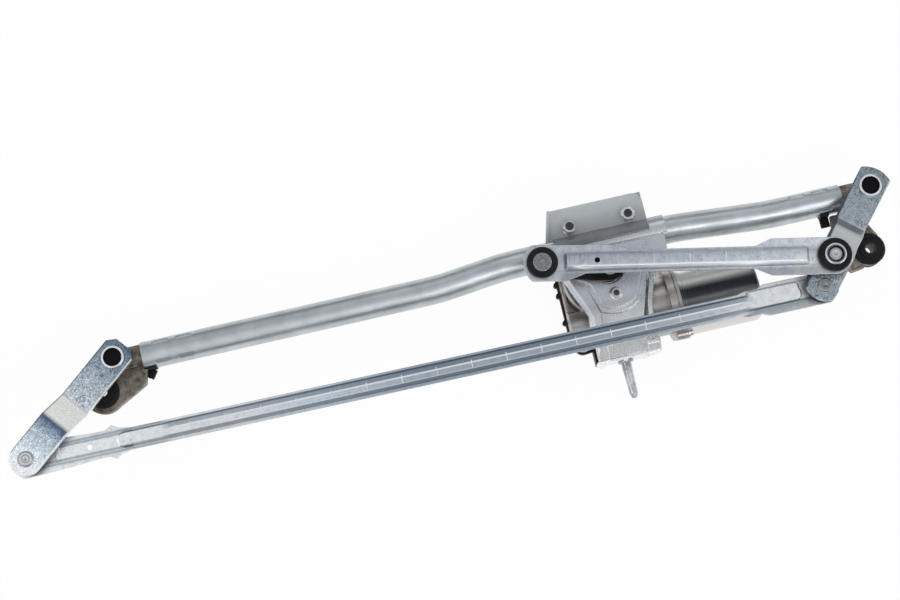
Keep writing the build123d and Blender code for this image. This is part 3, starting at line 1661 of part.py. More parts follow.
nodes = {
    "frame_tube": frame_tube(),
    "left_pivot_housing": pivot_housing(left_pivot, 1, left_grommet_place, left_ear_radius, left_web),
    "right_pivot_housing": pivot_housing(
        right_pivot, -1, right_grommet_place, right_ear_radius, right_web
    ),
    "left_spindle_bushes": spindle_bushes(left_pivot),
    "right_spindle_bushes": spindle_bushes(right_pivot),
    "left_grommet": grommet_shape(left_grommet_place),
    "right_grommet": grommet_shape(right_grommet_place),
    "left_grommet_sleeve": grommet_sleeve(left_grommet_place),
    "right_grommet_sleeve": grommet_sleeve(right_grommet_place),
    "thrust_washers": thrust_washers(),
    "left_tube_clip": tube_clip(left_pivot, 1),
    "right_tube_clip": tube_clip(right_pivot, -1),
    "motor_bracket": motor_bracket(),
    "clamp_plate": clamp_plate(),
    "lower_clamp": lower_clamp(),
    "clamp_bolts": clamp_bolts(),
    "clamp_nuts": clamp_nuts(),
    "motor_screws": motor_screws(),
    "locating_pin": locating_pin(),
    "gear_housing": gear_housing(),
    "gear_cover": gear_cover(),
    "connector_blades": connector_blades(),
    "cover_screw": cover_screw(),
    "output_bushes": output_bushes(),
    "motor_can": motor_can(),
    "can_screws": can_screws(),
    "magnets": magnets(),
    "brush_plate": brush_plate(),
    "motor_bearings": motor_bearings(),
    "armature_shaft": armature_shaft(),
    "armature_core": armature_core(),
    "armature_windings": armature_windings(),
    "commutator": commutator(),
    "output_shaft": output_shaft(),
    "worm_wheel": worm_wheel(),
    "crank_arm": crank_arm(),
    "crank_nut": crank_nut(),
    "crank_stud_rivet": crank_stud_rivet(),
    "drive_rod": drive_rod(),
    "drive_rod_crank_ball": crank_ball_joint(),
    "drive_rod_crank_socket": crank_socket(),
    "drive_rod_rocker_socket": socket(drive_ball, drive_ball_z, drive_socket_radius, 1, drive_sheet_z),
    "drive_seal_ring": drive_seal_ring(),
    "right_rocker_arm": right_rocker_arm(),
    "right_spindle": spindle(right_pivot),
    "right_circlip": circlip(right_pivot),
    "drive_stud": drive_stud(),
    "right_link_stud": right_link_stud(),
    "long_rod": long_rod(),
    "long_rod_left_ball": left_link_ball(),
    "long_rod_left_socket": socket(left_ball, link_ball_z, socket_radius, -1, link_sheet_z),
    "long_rod_right_socket": socket(right_ball, link_ball_z, socket_radius, -1, link_sheet_z),
    "left_rocker_arm": left_rocker_arm(),
    "left_spindle": spindle(left_pivot),
    "left_circlip": circlip(left_pivot),
    "left_stud_rivet": left_stud_rivet(),
}

os.makedirs("parts", exist_ok=True)
for name, shape in nodes.items():
    if isinstance(shape, list):
        shape = Compound(children=shape)
    export_step(shape, f"parts/{name}.step")
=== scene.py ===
import math

import bpy
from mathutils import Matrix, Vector


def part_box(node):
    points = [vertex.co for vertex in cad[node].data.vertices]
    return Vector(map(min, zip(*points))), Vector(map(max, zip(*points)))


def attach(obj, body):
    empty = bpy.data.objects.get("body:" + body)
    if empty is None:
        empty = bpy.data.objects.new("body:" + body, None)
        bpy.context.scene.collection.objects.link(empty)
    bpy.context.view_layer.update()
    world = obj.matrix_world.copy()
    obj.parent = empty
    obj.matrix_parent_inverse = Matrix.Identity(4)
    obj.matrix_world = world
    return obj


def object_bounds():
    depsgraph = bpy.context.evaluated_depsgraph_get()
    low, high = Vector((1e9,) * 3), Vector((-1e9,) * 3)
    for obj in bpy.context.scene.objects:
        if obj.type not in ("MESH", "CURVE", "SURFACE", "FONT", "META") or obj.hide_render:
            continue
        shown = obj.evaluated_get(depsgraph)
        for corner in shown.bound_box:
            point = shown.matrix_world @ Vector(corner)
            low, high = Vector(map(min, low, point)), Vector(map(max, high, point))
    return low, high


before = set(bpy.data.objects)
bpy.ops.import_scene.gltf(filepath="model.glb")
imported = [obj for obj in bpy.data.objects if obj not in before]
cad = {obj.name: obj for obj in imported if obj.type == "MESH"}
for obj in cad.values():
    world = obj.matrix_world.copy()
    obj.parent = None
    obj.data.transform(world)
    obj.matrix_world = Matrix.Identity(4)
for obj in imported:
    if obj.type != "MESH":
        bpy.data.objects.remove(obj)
cad_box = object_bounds()
mm = 0.001

# Camera
# The photograph looks down on the linkage from its crank side, almost square on, with the
# left spindle nearer to the lower edge of the picture. Distance and lens were set together.
camera_azimuth = -12.99
camera_elevation = 79.92
camera_distance = 1600 * mm
camera_target = Vector((296.2, -16.7, 86.0)) * mm
camera_lens = 73.47
tilt = math.radians(90 - camera_elevation)
turn = math.radians(camera_azimuth)
backwards = Vector((math.sin(turn) * math.sin(tilt), -math.cos(turn) * math.sin(tilt), math.cos(tilt)))
bpy.ops.object.camera_add(location=camera_target + backwards * camera_distance, rotation=(tilt, 0, turn))
camera = bpy.context.object
camera.name = "photo_camera"
camera.data.lens = camera_lens
camera.data.sensor_fit = "HORIZONTAL"
camera.data.sensor_width = 36
camera.data.clip_end = 20
bpy.context.scene.camera = camera
bpy.context.scene.view_settings.view_transform = "Standard"

# Studio
# A pale floor under the spindle tips, a grey room with darker walls, and soft boxes, so that
# the bare metal has something bright and something dark to reflect.
floor_size = 30
floor_centre = 340 * mm
floor_gap = 12 * mm
floor_white = (0.9, 0.9, 0.9, 1)
floor_glow = 0.96
room_grey = (0.54, 0.56, 0.58, 1)
ceiling_grey = (0.85, 0.86, 0.87, 1)
wall_grey = (0.05, 0.055, 0.065, 1)
near_wall_span = (-0.94, -0.8)
far_wall_span = (0.8, 0.97)
far_wall_share = 0.75
ceiling_span = (-0.4, 0.25)
soft_boxes = (
    ("key_box", (0.8, -0.64, 1.3), (0.9, 0.3), 3.2),
    ("left_box", (-0.95, 0.1, 1.5), (0.7, 0.8), 3.0),
    ("back_box", (0.6, 1.0, 0.9), (0.6, 0.4), 0.55),
)
bpy.ops.mesh.primitive_plane_add(size=floor_size, location=(floor_centre, 0, cad_box[0][2] - floor_gap))
floor = bpy.context.object
floor.name = "floor"
bpy.ops.object.transform_apply(location=True, rotation=True, scale=True)


def new_material(name):
    """An empty material with its node tree, ready for shaders."""
    material = bpy.data.materials.new(name)
    material.use_nodes = True
    material.node_tree.nodes.clear()
    return material, material.node_tree


def add_node(tree, kind, settings=None, **inputs):
    """A node with its settings and inputs. i0 is the input of that number, From_Min is From Min.

    An input that is another node's socket is linked, and any other is a value.
    """
    node = tree.nodes.new(kind)
    for name, value in (settings or {}).items():
        setattr(node, name, value)
    for name, value in inputs.items():
        key = int(name[1:]) if name[0] == "i" and name[1:].isdigit() else name.replace("_", " ")
        if isinstance(value, bpy.types.NodeSocket):
            tree.links.new(value, node.inputs[key])
        else:
            node.inputs[key].default_value = value
    return node


def maths(tree, operation, first, second=0.0, clamp=False):
    settings = {"operation": operation, "use_clamp": clamp}
    return add_node(tree, "ShaderNodeMath", settings, i0=first, i1=second).outputs[0]


def blend_colours(tree, share, first, second, blend_type="MIX"):
    settings = {"data_type": "RGBA", "blend_type": blend_type}
    return add_node(tree, "ShaderNodeMix", settings, i0=share, i6=first, i7=second).outputs[2]


def spread(tree, value, low, high, out_low=0.0, out_high=1.0):
    """Maps a value from one span to another, and stops at the ends."""
    return add_node(
        tree, "ShaderNodeMapRange",
        Value=value, From_Min=low, From_Max=high, To_Min=out_low, To_Max=out_high,
    ).outputs["Result"]


floor_paint, tree = new_material("floor_paint")
path = add_node(tree, "ShaderNodeLightPath")
seen = maths(tree, "MAXIMUM", path.outputs["Is Camera Ray"], path.outputs["Is Glossy Ray"])
seen = maths(tree, "MAXIMUM", seen, path.outputs["Is Transmission Ray"])
seen = maths(tree, "MULTIPLY", seen, floor_glow)
matt = add_node(tree, "ShaderNodeBsdfDiffuse", Color=floor_white)
glow = add_node(tree, "ShaderNodeEmission", Strength=1.0)
mix = add_node(tree, "ShaderNodeMixShader", i0=seen, i1=matt.outputs[0], i2=glow.outputs[0])
add_node(tree, "ShaderNodeOutputMaterial", Surface=mix.outputs[0])
floor.data.materials.append(floor_paint)

world = bpy.data.worlds.new("studio_room")
world.use_nodes = True
room = world.node_tree
direction = add_node(room, "ShaderNodeTexCoord").outputs["Generated"]
sideways = add_node(room, "ShaderNodeSeparateXYZ", Vector=direction).outputs["Y"]
near_wall = spread(room, sideways, *near_wall_span, 1.0, 0.0)
far_wall = spread(room, sideways, *far_wall_span, 0.0, far_wall_share)
overhead = blend_colours(room, spread(room, sideways, *ceiling_span, 1.0, 0.0), room_grey, ceiling_grey)
shaded = blend_colours(room, maths(room, "MAXIMUM", near_wall, far_wall), overhead, wall_grey)
room.links.new(shaded, room.nodes["Background"].inputs["Color"])
bpy.context.scene.world = world

for name, place, size, watts in soft_boxes:
    place = Vector(place)
    aim = (camera_target - place).to_track_quat("-Z", "Y")
    bpy.ops.object.light_add(type="AREA", location=place, rotation=aim.to_euler())
    lamp = bpy.context.object
    lamp.name = name
    lamp.data.shape = "RECTANGLE"
    lamp.data.size = size[0]
    lamp.data.size_y = size[1]
    lamp.data.energy = watts

# Frame tube
# A drawn steel tube with a thin zinc coat, bent twice to pass the motor and crimped on the
# spigots of both pivot housings. It shows fine lengthwise draw lines and duller blotches.
tube_colour = (0.6, 0.64, 0.67, 1)
tube_shade = (0.46, 0.49, 0.5, 1)
tube_roughness = 0.36
tube_fineness = 700.0
tube_line_depth = 0.02 * mm
tube_edge = 0.5 * mm
edge_samples = 6
draw_stretch = (0.02, 1.0, 1.0)
blotches_per_metre = 45.0
shade_span = (0.35, 0.7)
grain_span = (0.3, 0.7)


def new_finish(name):
    """A piece's material, its node tree, and the place on the piece in metres."""
    material, tree = new_material(name)
    return material, tree, add_node(tree, "ShaderNodeTexCoord").outputs["Object"]


def new_group(name, inputs, outputs):
    """An empty node group. Inputs and outputs are (name, kind, default) and (name, kind)."""
    group = bpy.data.node_groups.new(name, "ShaderNodeTree")
    for label, kind, default in inputs:
        socket = group.interface.new_socket(name=label, in_out="INPUT", socket_type=kind)
        socket.default_value = default
    for label, kind in outputs:
        group.interface.new_socket(name=label, in_out="OUTPUT", socket_type=kind)
    return group, group.nodes.new("NodeGroupInput"), group.nodes.new("NodeGroupOutput")


edge_group, ins, outs = new_group(
    "rounded_edges",
    [("Radius", "NodeSocketFloat", 0.6 * mm), ("Gain", "NodeSocketFloat", 6.0)],
    [("Mask", "NodeSocketFloat"), ("Normal", "NodeSocketVector")],
)
rounded = add_node(edge_group, "ShaderNodeBevel", {"samples": edge_samples}, Radius=ins.outputs["Radius"])
facing = add_node(edge_group, "ShaderNodeNewGeometry")
turned = add_node(
    edge_group, "ShaderNodeVectorMath", {"operation": "DOT_PRODUCT"},
    i0=rounded.outputs["Normal"], i1=facing.outputs["True Normal"],
)
bend = maths(edge_group, "SUBTRACT", 1.0, turned.outputs["Value"])
bend = maths(edge_group, "MULTIPLY", bend, ins.outputs["Gain"], clamp=True)
edge_group.links.new(bend, outs.inputs["Mask"])
edge_group.links.new(rounded.outputs["Normal"], outs.inputs["Normal"])

line_group, ins, outs = new_group(
    "draw_lines",
    [("Vector", "NodeSocketVector", (0, 0, 0)), ("Fineness", "NodeSocketFloat", 900.0)],
    [("Lines", "NodeSocketFloat"), ("Blotches", "NodeSocketFloat")],
)
stretched = add_node(
    line_group, "ShaderNodeVectorMath", {"operation": "MULTIPLY"},
    i0=ins.outputs["Vector"], i1=draw_stretch,
)
lines = add_node(
    line_group, "ShaderNodeTexNoise",
    Vector=stretched.outputs[0], Scale=ins.outputs["Fineness"], Detail=3.0, Roughness=0.6,
)
blotches = add_node(
    line_group, "ShaderNodeTexNoise",
    Vector=ins.outputs["Vector"], Scale=blotches_per_metre, Detail=4.0, Roughness=0.6,
)
line_group.links.new(lines.outputs["Fac"], outs.inputs["Lines"])
line_group.links.new(blotches.outputs["Fac"], outs.inputs["Blotches"])


def place_effect(tree, group, **inputs):
    return add_node(tree, "ShaderNodeGroup", {"node_tree": group}, **inputs).outputs


def metal_surface(tree, colour, roughness, height, depth, edge, metallic=1.0, lean=None):
    """The shader of a piece, from what its effects put out. A lean tips its flakes."""
    normal = edge["Normal"]
    if lean is not None:
        normal = add_node(tree, "ShaderNodeVectorMath", {"operation": "ADD"}, i0=normal, i1=lean).outputs[0]
        normal = add_node(tree, "ShaderNodeVectorMath", {"operation": "NORMALIZE"}, i0=normal).outputs[0]
    bump = add_node(tree, "ShaderNodeBump", Strength=1.0, Distance=depth, Height=height, Normal=normal)
    shader = add_node(
        tree, "ShaderNodeBsdfPrincipled",
        Metallic=metallic, Base_Color=colour, Roughness=roughness, Normal=bump.outputs["Normal"],
    )
    add_node(tree, "ShaderNodeOutputMaterial", Surface=shader.outputs[0])
    return shader


def dress(material, *names):
    """Gives CAD nodes their finish."""
    for name in names:
        cad[name].material_slots[0].material = material


tube_steel, tree, where = new_finish("tube_steel")
grain = place_effect(tree, line_group, Vector=where, Fineness=tube_fineness)
edge = place_effect(tree, edge_group, Radius=tube_edge)
colour = blend_colours(tree, spread(tree, grain["Blotches"], *shade_span), tube_colour, tube_shade)
rough = spread(tree, grain["Lines"], *grain_span, tube_roughness - 0.06, tube_roughness + 0.1)
metal_surface(tree, colour, rough, grain["Lines"], tube_line_depth, edge)
dress(tube_steel, "frame_tube")

# Pivot housings
# Aluminium die castings with a dark, slightly brown skin, left as they come from the mould,
# with spigots that the tube is crimped on. Their edges are rubbed bright.
housing_colour = (0.1, 0.08, 0.06, 1)
housing_worn = (0.62, 0.57, 0.5, 1)
housing_roughness = 0.55
housing_grain_depth = 0.12 * mm
casting_edge = 1.0 * mm
casting_wear = 5.0
casting_metallic = 0.9
stains_per_metre = 70.0

cast_group, ins, outs = new_group(
    "cast_skin",
    [("Vector", "NodeSocketVector", (0, 0, 0)), ("Fineness", "NodeSocketFloat", 1200.0)],
    [("Grain", "NodeSocketFloat"), ("Stains", "NodeSocketFloat")],
)
grains = add_node(
    cast_group, "ShaderNodeTexNoise",
    Vector=ins.outputs["Vector"], Scale=ins.outputs["Fineness"], Detail=5.0, Roughness=0.7,
)
stains = add_node(
    cast_group, "ShaderNodeTexNoise",
    Vector=ins.outputs["Vector"], Scale=stains_per_metre, Detail=6.0, Roughness=0.65,
)
cast_group.links.new(grains.outputs["Fac"], outs.inputs["Grain"])
cast_group.links.new(stains.outputs["Fac"], outs.inputs["Stains"])


def cast_skin(tree, where, colour, worn):
    """The colour, grain and edges of a casting: stains, and edges worn bright."""
    skin = place_effect(tree, cast_group, Vector=where)
    edge = place_effect(tree, edge_group, Radius=casting_edge, Gain=casting_wear)
    wear_and_painted_highlight = maths(tree, "MULTIPLY", edge["Mask"], spread(tree, skin["Stains"], 0.3, 0.55))
    stained = spread(tree, skin["Stains"], 0.4, 0.7, 0.0, 0.7)
    share = maths(tree, "MAXIMUM", wear_and_painted_highlight, stained)
    return blend_colours(tree, share, colour, worn), skin["Grain"], edge


def cast_surface(tree, colour, grain, edge, roughness, depth):
    rough = spread(tree, grain, 0.2, 0.8, roughness - 0.08, roughness + 0.12)
    metal_surface(tree, colour, rough, grain, depth, edge, casting_metallic)


dark_casting, tree, where = new_finish("dark_casting")
colour, grain, edge = cast_skin(tree, where, housing_colour, housing_worn)
cast_surface(tree, colour, grain, edge, housing_roughness, housing_grain_depth)
dress(dark_casting, "left_pivot_housing", "right_pivot_housing")

# Grommets and their sleeves
# Moulded black rubber with a dull bloom, snapped into the ears of the housings, each on a
# plain steel sleeve for the mounting screw. The sleeves are coloured near-black as painted
# shade inside the grommets' holes.
rubber_colour = (0.008, 0.008, 0.008, 1)
rubber_bloom = (0.02, 0.019, 0.018, 1)
moulding_fineness = 2200.0
moulding_edge = 0.5 * mm
moulding_depth = 0.03 * mm
moulding_gloss = 0.2
edge_bloom = 0.35
plating_depth = 0.015 * mm
plating_fineness = 900.0
fastener_edge = 0.35 * mm


def black_moulding(name, colour, bloom, roughness):
    """Rubber or plastic: fine grain and a paler bloom here and there."""
    material, tree, where = new_finish(name)
    skin = place_effect(tree, cast_group, Vector=where, Fineness=moulding_fineness)
    edge = place_effect(tree, edge_group, Radius=moulding_edge, Gain=3.0)
    share = maths(tree, "MULTIPLY", edge["Mask"], edge_bloom)
    share = maths(tree, "MAXIMUM", share, spread(tree, skin["Stains"], 0.45, 0.8, 0.0, 0.6))
    mixed = blend_colours(tree, share, colour, bloom)
    rough = spread(tree, skin["Stains"], *grain_span, roughness - 0.1, roughness + 0.1)
    shader = metal_surface(tree, mixed, rough, skin["Grain"], moulding_depth, edge, metallic=0.0)
    shader.inputs["Specular IOR Level"].default_value = moulding_gloss
    return material


def plated_steel(name, colour, shade, roughness, fineness=plating_fineness):
    """Turned or headed metal with a thin coat, a little darker in patches."""
    material, tree, where = new_finish(name)
    skin = place_effect(tree, cast_group, Vector=where, Fineness=fineness)
    edge = place_effect(tree, edge_group, Radius=fastener_edge)
    mixed = blend_colours(tree, spread(tree, skin["Stains"], *shade_span), colour, shade)
    rough = spread(tree, skin["Grain"], *grain_span, roughness - 0.08, roughness + 0.1)
    metal_surface(tree, mixed, rough, skin["Grain"], plating_depth, edge)
    return material


grommet_rubber = black_moulding("grommet_rubber", rubber_colour, rubber_bloom, 0.6)
dress(grommet_rubber, "left_grommet", "right_grommet")
# Painted shade: the sleeves are coloured near-black, for the shade inside the grommets' holes.
sleeve_painted_shade = plated_steel("sleeve_painted_shade", (0.06, 0.055, 0.05, 1), (0.03, 0.03, 0.03, 1), 0.5)
dress(sleeve_painted_shade, "left_grommet_sleeve", "right_grommet_sleeve")

# Spindles
# Turned steel, ground where it runs in the housings. Each top is swaged over its rocker arm
# round a drilled hollow, which is coloured near-black as painted shade, and a circlip and
# thrust washers hold the spindle in place.
recess_radius = 8.1 * mm
recess_depth = 14 * mm
# Colour of the hollow in each spindle's top: near-black painted shade.
recess_painted_shade = (0.012, 0.011, 0.012, 1)
recess_dullness = 0.3
rim_width = 1.6 * mm
turning_pitch = 0.9 * mm
turning_depth = 0.008 * mm
spindle_edge = 0.4 * mm
bare_steel = (0.62, 0.62, 0.61, 1)
# Bright rubbed zinc. On the straps' near rims, the rods' lines and the pressed sheets' edges this colour is
# a painted highlight.
rubbed_zinc_and_painted_highlight = (0.97, 0.98, 1.0, 1)
worked_grey = (0.4, 0.4, 0.41, 1)

ring_group, ins, outs = new_group(
    "turned_rings",
    [
        ("Vector", "NodeSocketVector", (0, 0, 0)),
        ("Centre", "NodeSocketVector", (0, 0, 0)),
        ("Pitch", "NodeSocketFloat", 1.0 * mm),
    ],
    [("Radius", "NodeSocketFloat"), ("Rings", "NodeSocketFloat")],
)
from_centre = add_node(
    ring_group, "ShaderNodeVectorMath", {"operation": "SUBTRACT"},
    i0=ins.outputs["Vector"], i1=ins.outputs["Centre"],
)
flat = add_node(
    ring_group, "ShaderNodeVectorMath", {"operation": "MULTIPLY"}, i0=from_centre.outputs[0], i1=(1, 1, 0)
)
radius = add_node(ring_group, "ShaderNodeVectorMath", {"operation": "LENGTH"}, i0=flat.outputs[0])
turns = maths(ring_group, "DIVIDE", radius.outputs["Value"], ins.outputs["Pitch"])
wave = maths(ring_group, "SINE", maths(ring_group, "MULTIPLY", turns, 2 * math.pi))
ring_group.links.new(radius.outputs["Value"], outs.inputs["Radius"])
ring_group.links.new(wave, outs.inputs["Rings"])


def centre_of(node):
    """The middle of a round piece, seen from above."""
    low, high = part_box(node)
    return ((low[0] + high[0]) / 2, (low[1] + high[1]) / 2, 0)


def top_of(node):
    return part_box(node)[1][2]


def coordinate(tree, where, axis):
    return add_node(tree, "ShaderNodeSeparateXYZ", Vector=where).outputs[axis]


def spindle_steel(name, node):
    """Ground steel, with a bright swaged rim round the hollow in the spindle's top, which is painted
    near-black as shade.
    """
    material, tree, where = new_finish(name)
    skin = place_effect(tree, cast_group, Vector=where, Fineness=plating_fineness)
    turned = place_effect(tree, ring_group, Vector=where, Centre=centre_of(node), Pitch=turning_pitch)
    edge = place_effect(tree, edge_group, Radius=spindle_edge)
    inside = maths(tree, "LESS_THAN", turned["Radius"], recess_radius)
    deep = maths(tree, "GREATER_THAN", coordinate(tree, where, "Z"), top_of(node) - recess_depth)
    hollow = maths(tree, "MULTIPLY", inside, deep)
    plain = blend_colours(tree, spread(tree, skin["Stains"], *shade_span), bare_steel, worked_grey)
    rim = maths(tree, "LESS_THAN", turned["Radius"], recess_radius + rim_width)
    plain = blend_colours(tree, maths(tree, "MULTIPLY", rim, deep), plain, rubbed_zinc_and_painted_highlight)
    # Painted shade: the hollow is coloured near-black.
    mixed = blend_colours(tree, hollow, plain, recess_painted_shade)
    rough = spread(tree, skin["Grain"], *grain_span, 0.18, 0.3)
    rough = maths(tree, "ADD", rough, maths(tree, "MULTIPLY", hollow, recess_dullness))
    metal_surface(tree, mixed, rough, turned["Rings"], turning_depth, edge)
    dress(material, node)


spindle_steel("left_spindle_steel", "left_spindle")
spindle_steel("right_spindle_steel", "right_spindle")
ground_steel = plated_steel("ground_steel", (0.6, 0.6, 0.6, 1), (0.48, 0.48, 0.47, 1), 0.24)
dress(ground_steel, "left_circlip", "right_circlip")
zinc_fastener = plated_steel("zinc_fastener", (0.62, 0.63, 0.65, 1), (0.42, 0.43, 0.45, 1), 0.3)
dress(zinc_fastener, "thrust_washers")
bronze = plated_steel("bronze", (0.5, 0.36, 0.2, 1), (0.36, 0.25, 0.14, 1), 0.4)
dress(bronze, "left_spindle_bushes", "right_spindle_bushes")

# Ball joints
# Steel ball studs riveted into the arms and the crank. The riveting tool leaves rings and a
# fine grit on their heads. A pressed ring sits round the head of the drive stud.
worked_light = (0.72, 0.73, 0.73, 1)
worked_dark = (0.16, 0.17, 0.18, 1)
rivet_fineness = 1400.0
rivet_edge = 0.5 * mm
rivet_depth = 0.03 * mm
ring_bright = (0.8, 0.81, 0.82, 1)
# Colour of the ring's inner slope: painted shade.
ring_slope_painted_shade = (0.2, 0.24, 0.29, 1)
ring_step = 8.1 * mm
ring_step_blur = 0.3 * mm
ring_edge = 0.3 * mm
ring_turning_pitch = 1.0 * mm
ring_turning_depth = 0.004 * mm


def rivet_steel(name, pitch, grit, *names):
    """A worked rivet head or ball: rings of the tool round its middle, and fine grit."""
    material, tree, where = new_finish(name)
    skin = place_effect(tree, cast_group, Vector=where, Fineness=rivet_fineness)
    turned = place_effect(tree, ring_group, Vector=where, Centre=centre_of(names[0]), Pitch=pitch)
    edge = place_effect(tree, edge_group, Radius=rivet_edge)
    ringed = spread(tree, turned["Rings"], -1.0, 1.0, 0.0, 0.5)
    gritty = spread(tree, skin["Grain"], 0.42, 0.6, 0.0, grit)
    share = maths(tree, "ADD", ringed, gritty, clamp=True)
    mixed = blend_colours(tree, share, worked_light, worked_dark)
    mixed = blend_colours(tree, edge["Mask"], mixed, rubbed_zinc_and_painted_highlight)
    rough = spread(tree, skin["Grain"], *grain_span, 0.26, 0.46)
    height = maths(tree, "ADD", turned["Rings"], maths(tree, "MULTIPLY", skin["Grain"], grit))
    metal_surface(tree, mixed, rough, height, rivet_depth, edge)
    dress(material, *names)


def seal_ring_steel(name, node):
    """The pressed ring round the drive stud: a bright rim, and an inner slope coloured dark as painted
    shade.
    """
    material, tree, where = new_finish(name)
    skin = place_effect(tree, cast_group, Vector=where, Fineness=plating_fineness)
    turned = place_effect(
        tree, ring_group, Vector=where, Centre=centre_of(node), Pitch=ring_turning_pitch
    )
    edge = place_effect(tree, edge_group, Radius=ring_edge)
    inner = spread(
        tree, turned["Radius"], ring_step - ring_step_blur, ring_step + ring_step_blur, 1.0, 0.0
    )
    # Painted shade on the inner slope.
    mixed = blend_colours(tree, inner, ring_bright, ring_slope_painted_shade)
    rough = spread(tree, skin["Grain"], *grain_span, 0.2, 0.35)
    metal_surface(tree, mixed, rough, turned["Rings"], ring_turning_depth, edge)
    dress(material, node)


seal_ring_steel("seal_ring_steel", "drive_seal_ring")
rivet_steel("crank_ball_steel", 16 * mm, 1.0, "drive_rod_crank_ball", "crank_stud_rivet")
rivet_steel("drive_stud_steel", 3.6 * mm, 0.3, "drive_stud")
rivet_steel("link_stud_steel", 12 * mm, 0.9, "right_link_stud")
rivet_steel("left_stud_steel", 2.6 * mm, 0.3, "left_stud_rivet", "long_rod_left_ball")

# Rocker arms and crank
# Pressed steel straps with a zinc coat that shows a fine spangle. Their colour along them
# carries painted light and shade. One sheared edge carries a painted highlight and the other a
# painted shade. The crank under the drive rod is coloured near-black as painted shade.
left_pivot = (0, 0)
left_arm_heading = -140.5
right_pivot = (680, 0)
right_arm_heading = -129.5
strap_half = 14.25 * mm
strap_edge = 0.9 * mm
strap_wear = 5.0
far_rim_width = 1.4 * mm
near_rim_width = 1.3 * mm
near_rim_full = 0.5 * mm
# Colour of the painted shade along the far sheared edge.
sheared_edge_painted_shade = (0.03, 0.045, 0.07, 1)
flake_size = 0.8 * mm
flake_depth = 0.006 * mm
flake_lean = 0.14
flake_wobble = 1.2 * mm
wobbles_per_metre = 400.0
clouds_per_metre = 180.0
# Along each arm the colour is the zinc's blue-grey hue with painted light and shade: darker towards the
# pivot, lighter towards the tip, with pale and dark bands where the strap bends. The dark flakes follow it.
left_arm_tints_and_painted_light = (
    (-16, (0.22, 0.29, 0.38)), (8, (0.4, 0.48, 0.56)), (30, (0.7, 0.77, 0.83)),
    (49, (0.82, 0.87, 0.92)), (51, (0.88, 0.88, 0.84)), (71, (0.88, 0.88, 0.84)),
    (75, (0.1, 0.15, 0.26)), (88, (0.6, 0.7, 0.78)), (108, (0.9, 0.95, 1)), (130, (1, 1, 1)),
)
left_arm_flakes = (
    (-16, (0.03, 0.05, 0.08)), (49, (0.08, 0.12, 0.16)), (75, (0.04, 0.07, 0.12)),
    (112, (0.25, 0.31, 0.38)),
)
left_arm_speckle = ((-16, 0.95), (49, 1), (52, 0), (73, 0), (76, 0.95), (118, 0.5))
right_arm_tints_and_painted_light = (
    (-16, (0.44, 0.51, 0.56)), (12, (0.5, 0.57, 0.61)), (36, (0.56, 0.62, 0.66)),
    (39, (0.85, 0.88, 0.9)), (41, (0.42, 0.47, 0.46)), (48, (0.4, 0.45, 0.44)),
    (50, (0.66, 0.69, 0.68)), (70, (0.62, 0.66, 0.67)), (110, (0.5, 0.56, 0.62)),
)
right_arm_flakes = ((-16, (0.03, 0.05, 0.07)), (36, (0.05, 0.08, 0.11)), (110, (0.03, 0.05, 0.07)))
right_arm_speckle = ((-16, 1), (37, 0.9), (39, 0.1), (60, 0.15), (85, 1))

spangle_group, ins, outs = new_group(
    "zinc_spangle",
    [("Vector", "NodeSocketVector", (0, 0, 0)), ("Size", "NodeSocketFloat", 1.2 * mm)],
    [("Flake", "NodeSocketFloat"), ("Cloud", "NodeSocketFloat"), ("Lean", "NodeSocketVector")],
)
per_metre = maths(spangle_group, "DIVIDE", 1.0, ins.outputs["Size"])
wobble = add_node(
    spangle_group, "ShaderNodeTexNoise",
    Vector=ins.outputs["Vector"], Scale=wobbles_per_metre, Detail=2.0,
)
shaken = add_node(
    spangle_group, "ShaderNodeVectorMath", {"operation": "MULTIPLY_ADD"},
    i0=wobble.outputs["Color"], i1=(flake_wobble,) * 3, i2=ins.outputs["Vector"],
)
cells = add_node(spangle_group, "ShaderNodeTexVoronoi", Vector=shaken.outputs[0], Scale=per_metre)
flake = add_node(spangle_group, "ShaderNodeSeparateColor", Color=cells.outputs["Color"])
cloud = add_node(
    spangle_group, "ShaderNodeTexNoise",
    Vector=ins.outputs["Vector"], Scale=clouds_per_metre, Detail=6.0, Roughness=0.75,
)
lean = add_node(
    spangle_group, "ShaderNodeVectorMath", {"operation": "MULTIPLY_ADD"},
    i0=cells.outputs["Color"], i1=(flake_lean, flake_lean, 0), i2=(-flake_lean / 2, -flake_lean / 2, 0),
)
spangle_group.links.new(lean.outputs[0], outs.inputs["Lean"])
spangle_group.links.new(flake.outputs["Red"], outs.inputs["Flake"])
spangle_group.links.new(cloud.outputs["Fac"], outs.inputs["Cloud"])


def along_piece(tree, where, start, heading):
    """Distances along and across a piece that starts at a place in mm and runs at a heading."""
    mapping = add_node(
        tree, "ShaderNodeMapping", {"vector_type": "TEXTURE"}, Vector=where,
        Location=(start[0] * mm, start[1] * mm, 0), Rotation=(0, 0, math.radians(heading)),
    )
    outputs = add_node(tree, "ShaderNodeSeparateXYZ", Vector=mapping.outputs[0]).outputs
    return outputs["X"], outputs["Y"]


def tones(tree, along, stops):
    """A colour that changes along a piece, from pairs of a distance in mm and a colour."""
    first = stops[0][0]
    length = stops[-1][0] - first
    share = spread(tree, along, first * mm, (first + length) * mm)
    ramp = add_node(tree, "ShaderNodeValToRGB", Fac=share)
    elements = ramp.color_ramp.elements
    while len(elements) < len(stops):
        elements.new(0.5)
    for element, (distance, colour) in zip(elements, stops):
        element.position = (distance - first) / length
        element.color = (*colour, 1)
    return ramp.outputs["Color"]


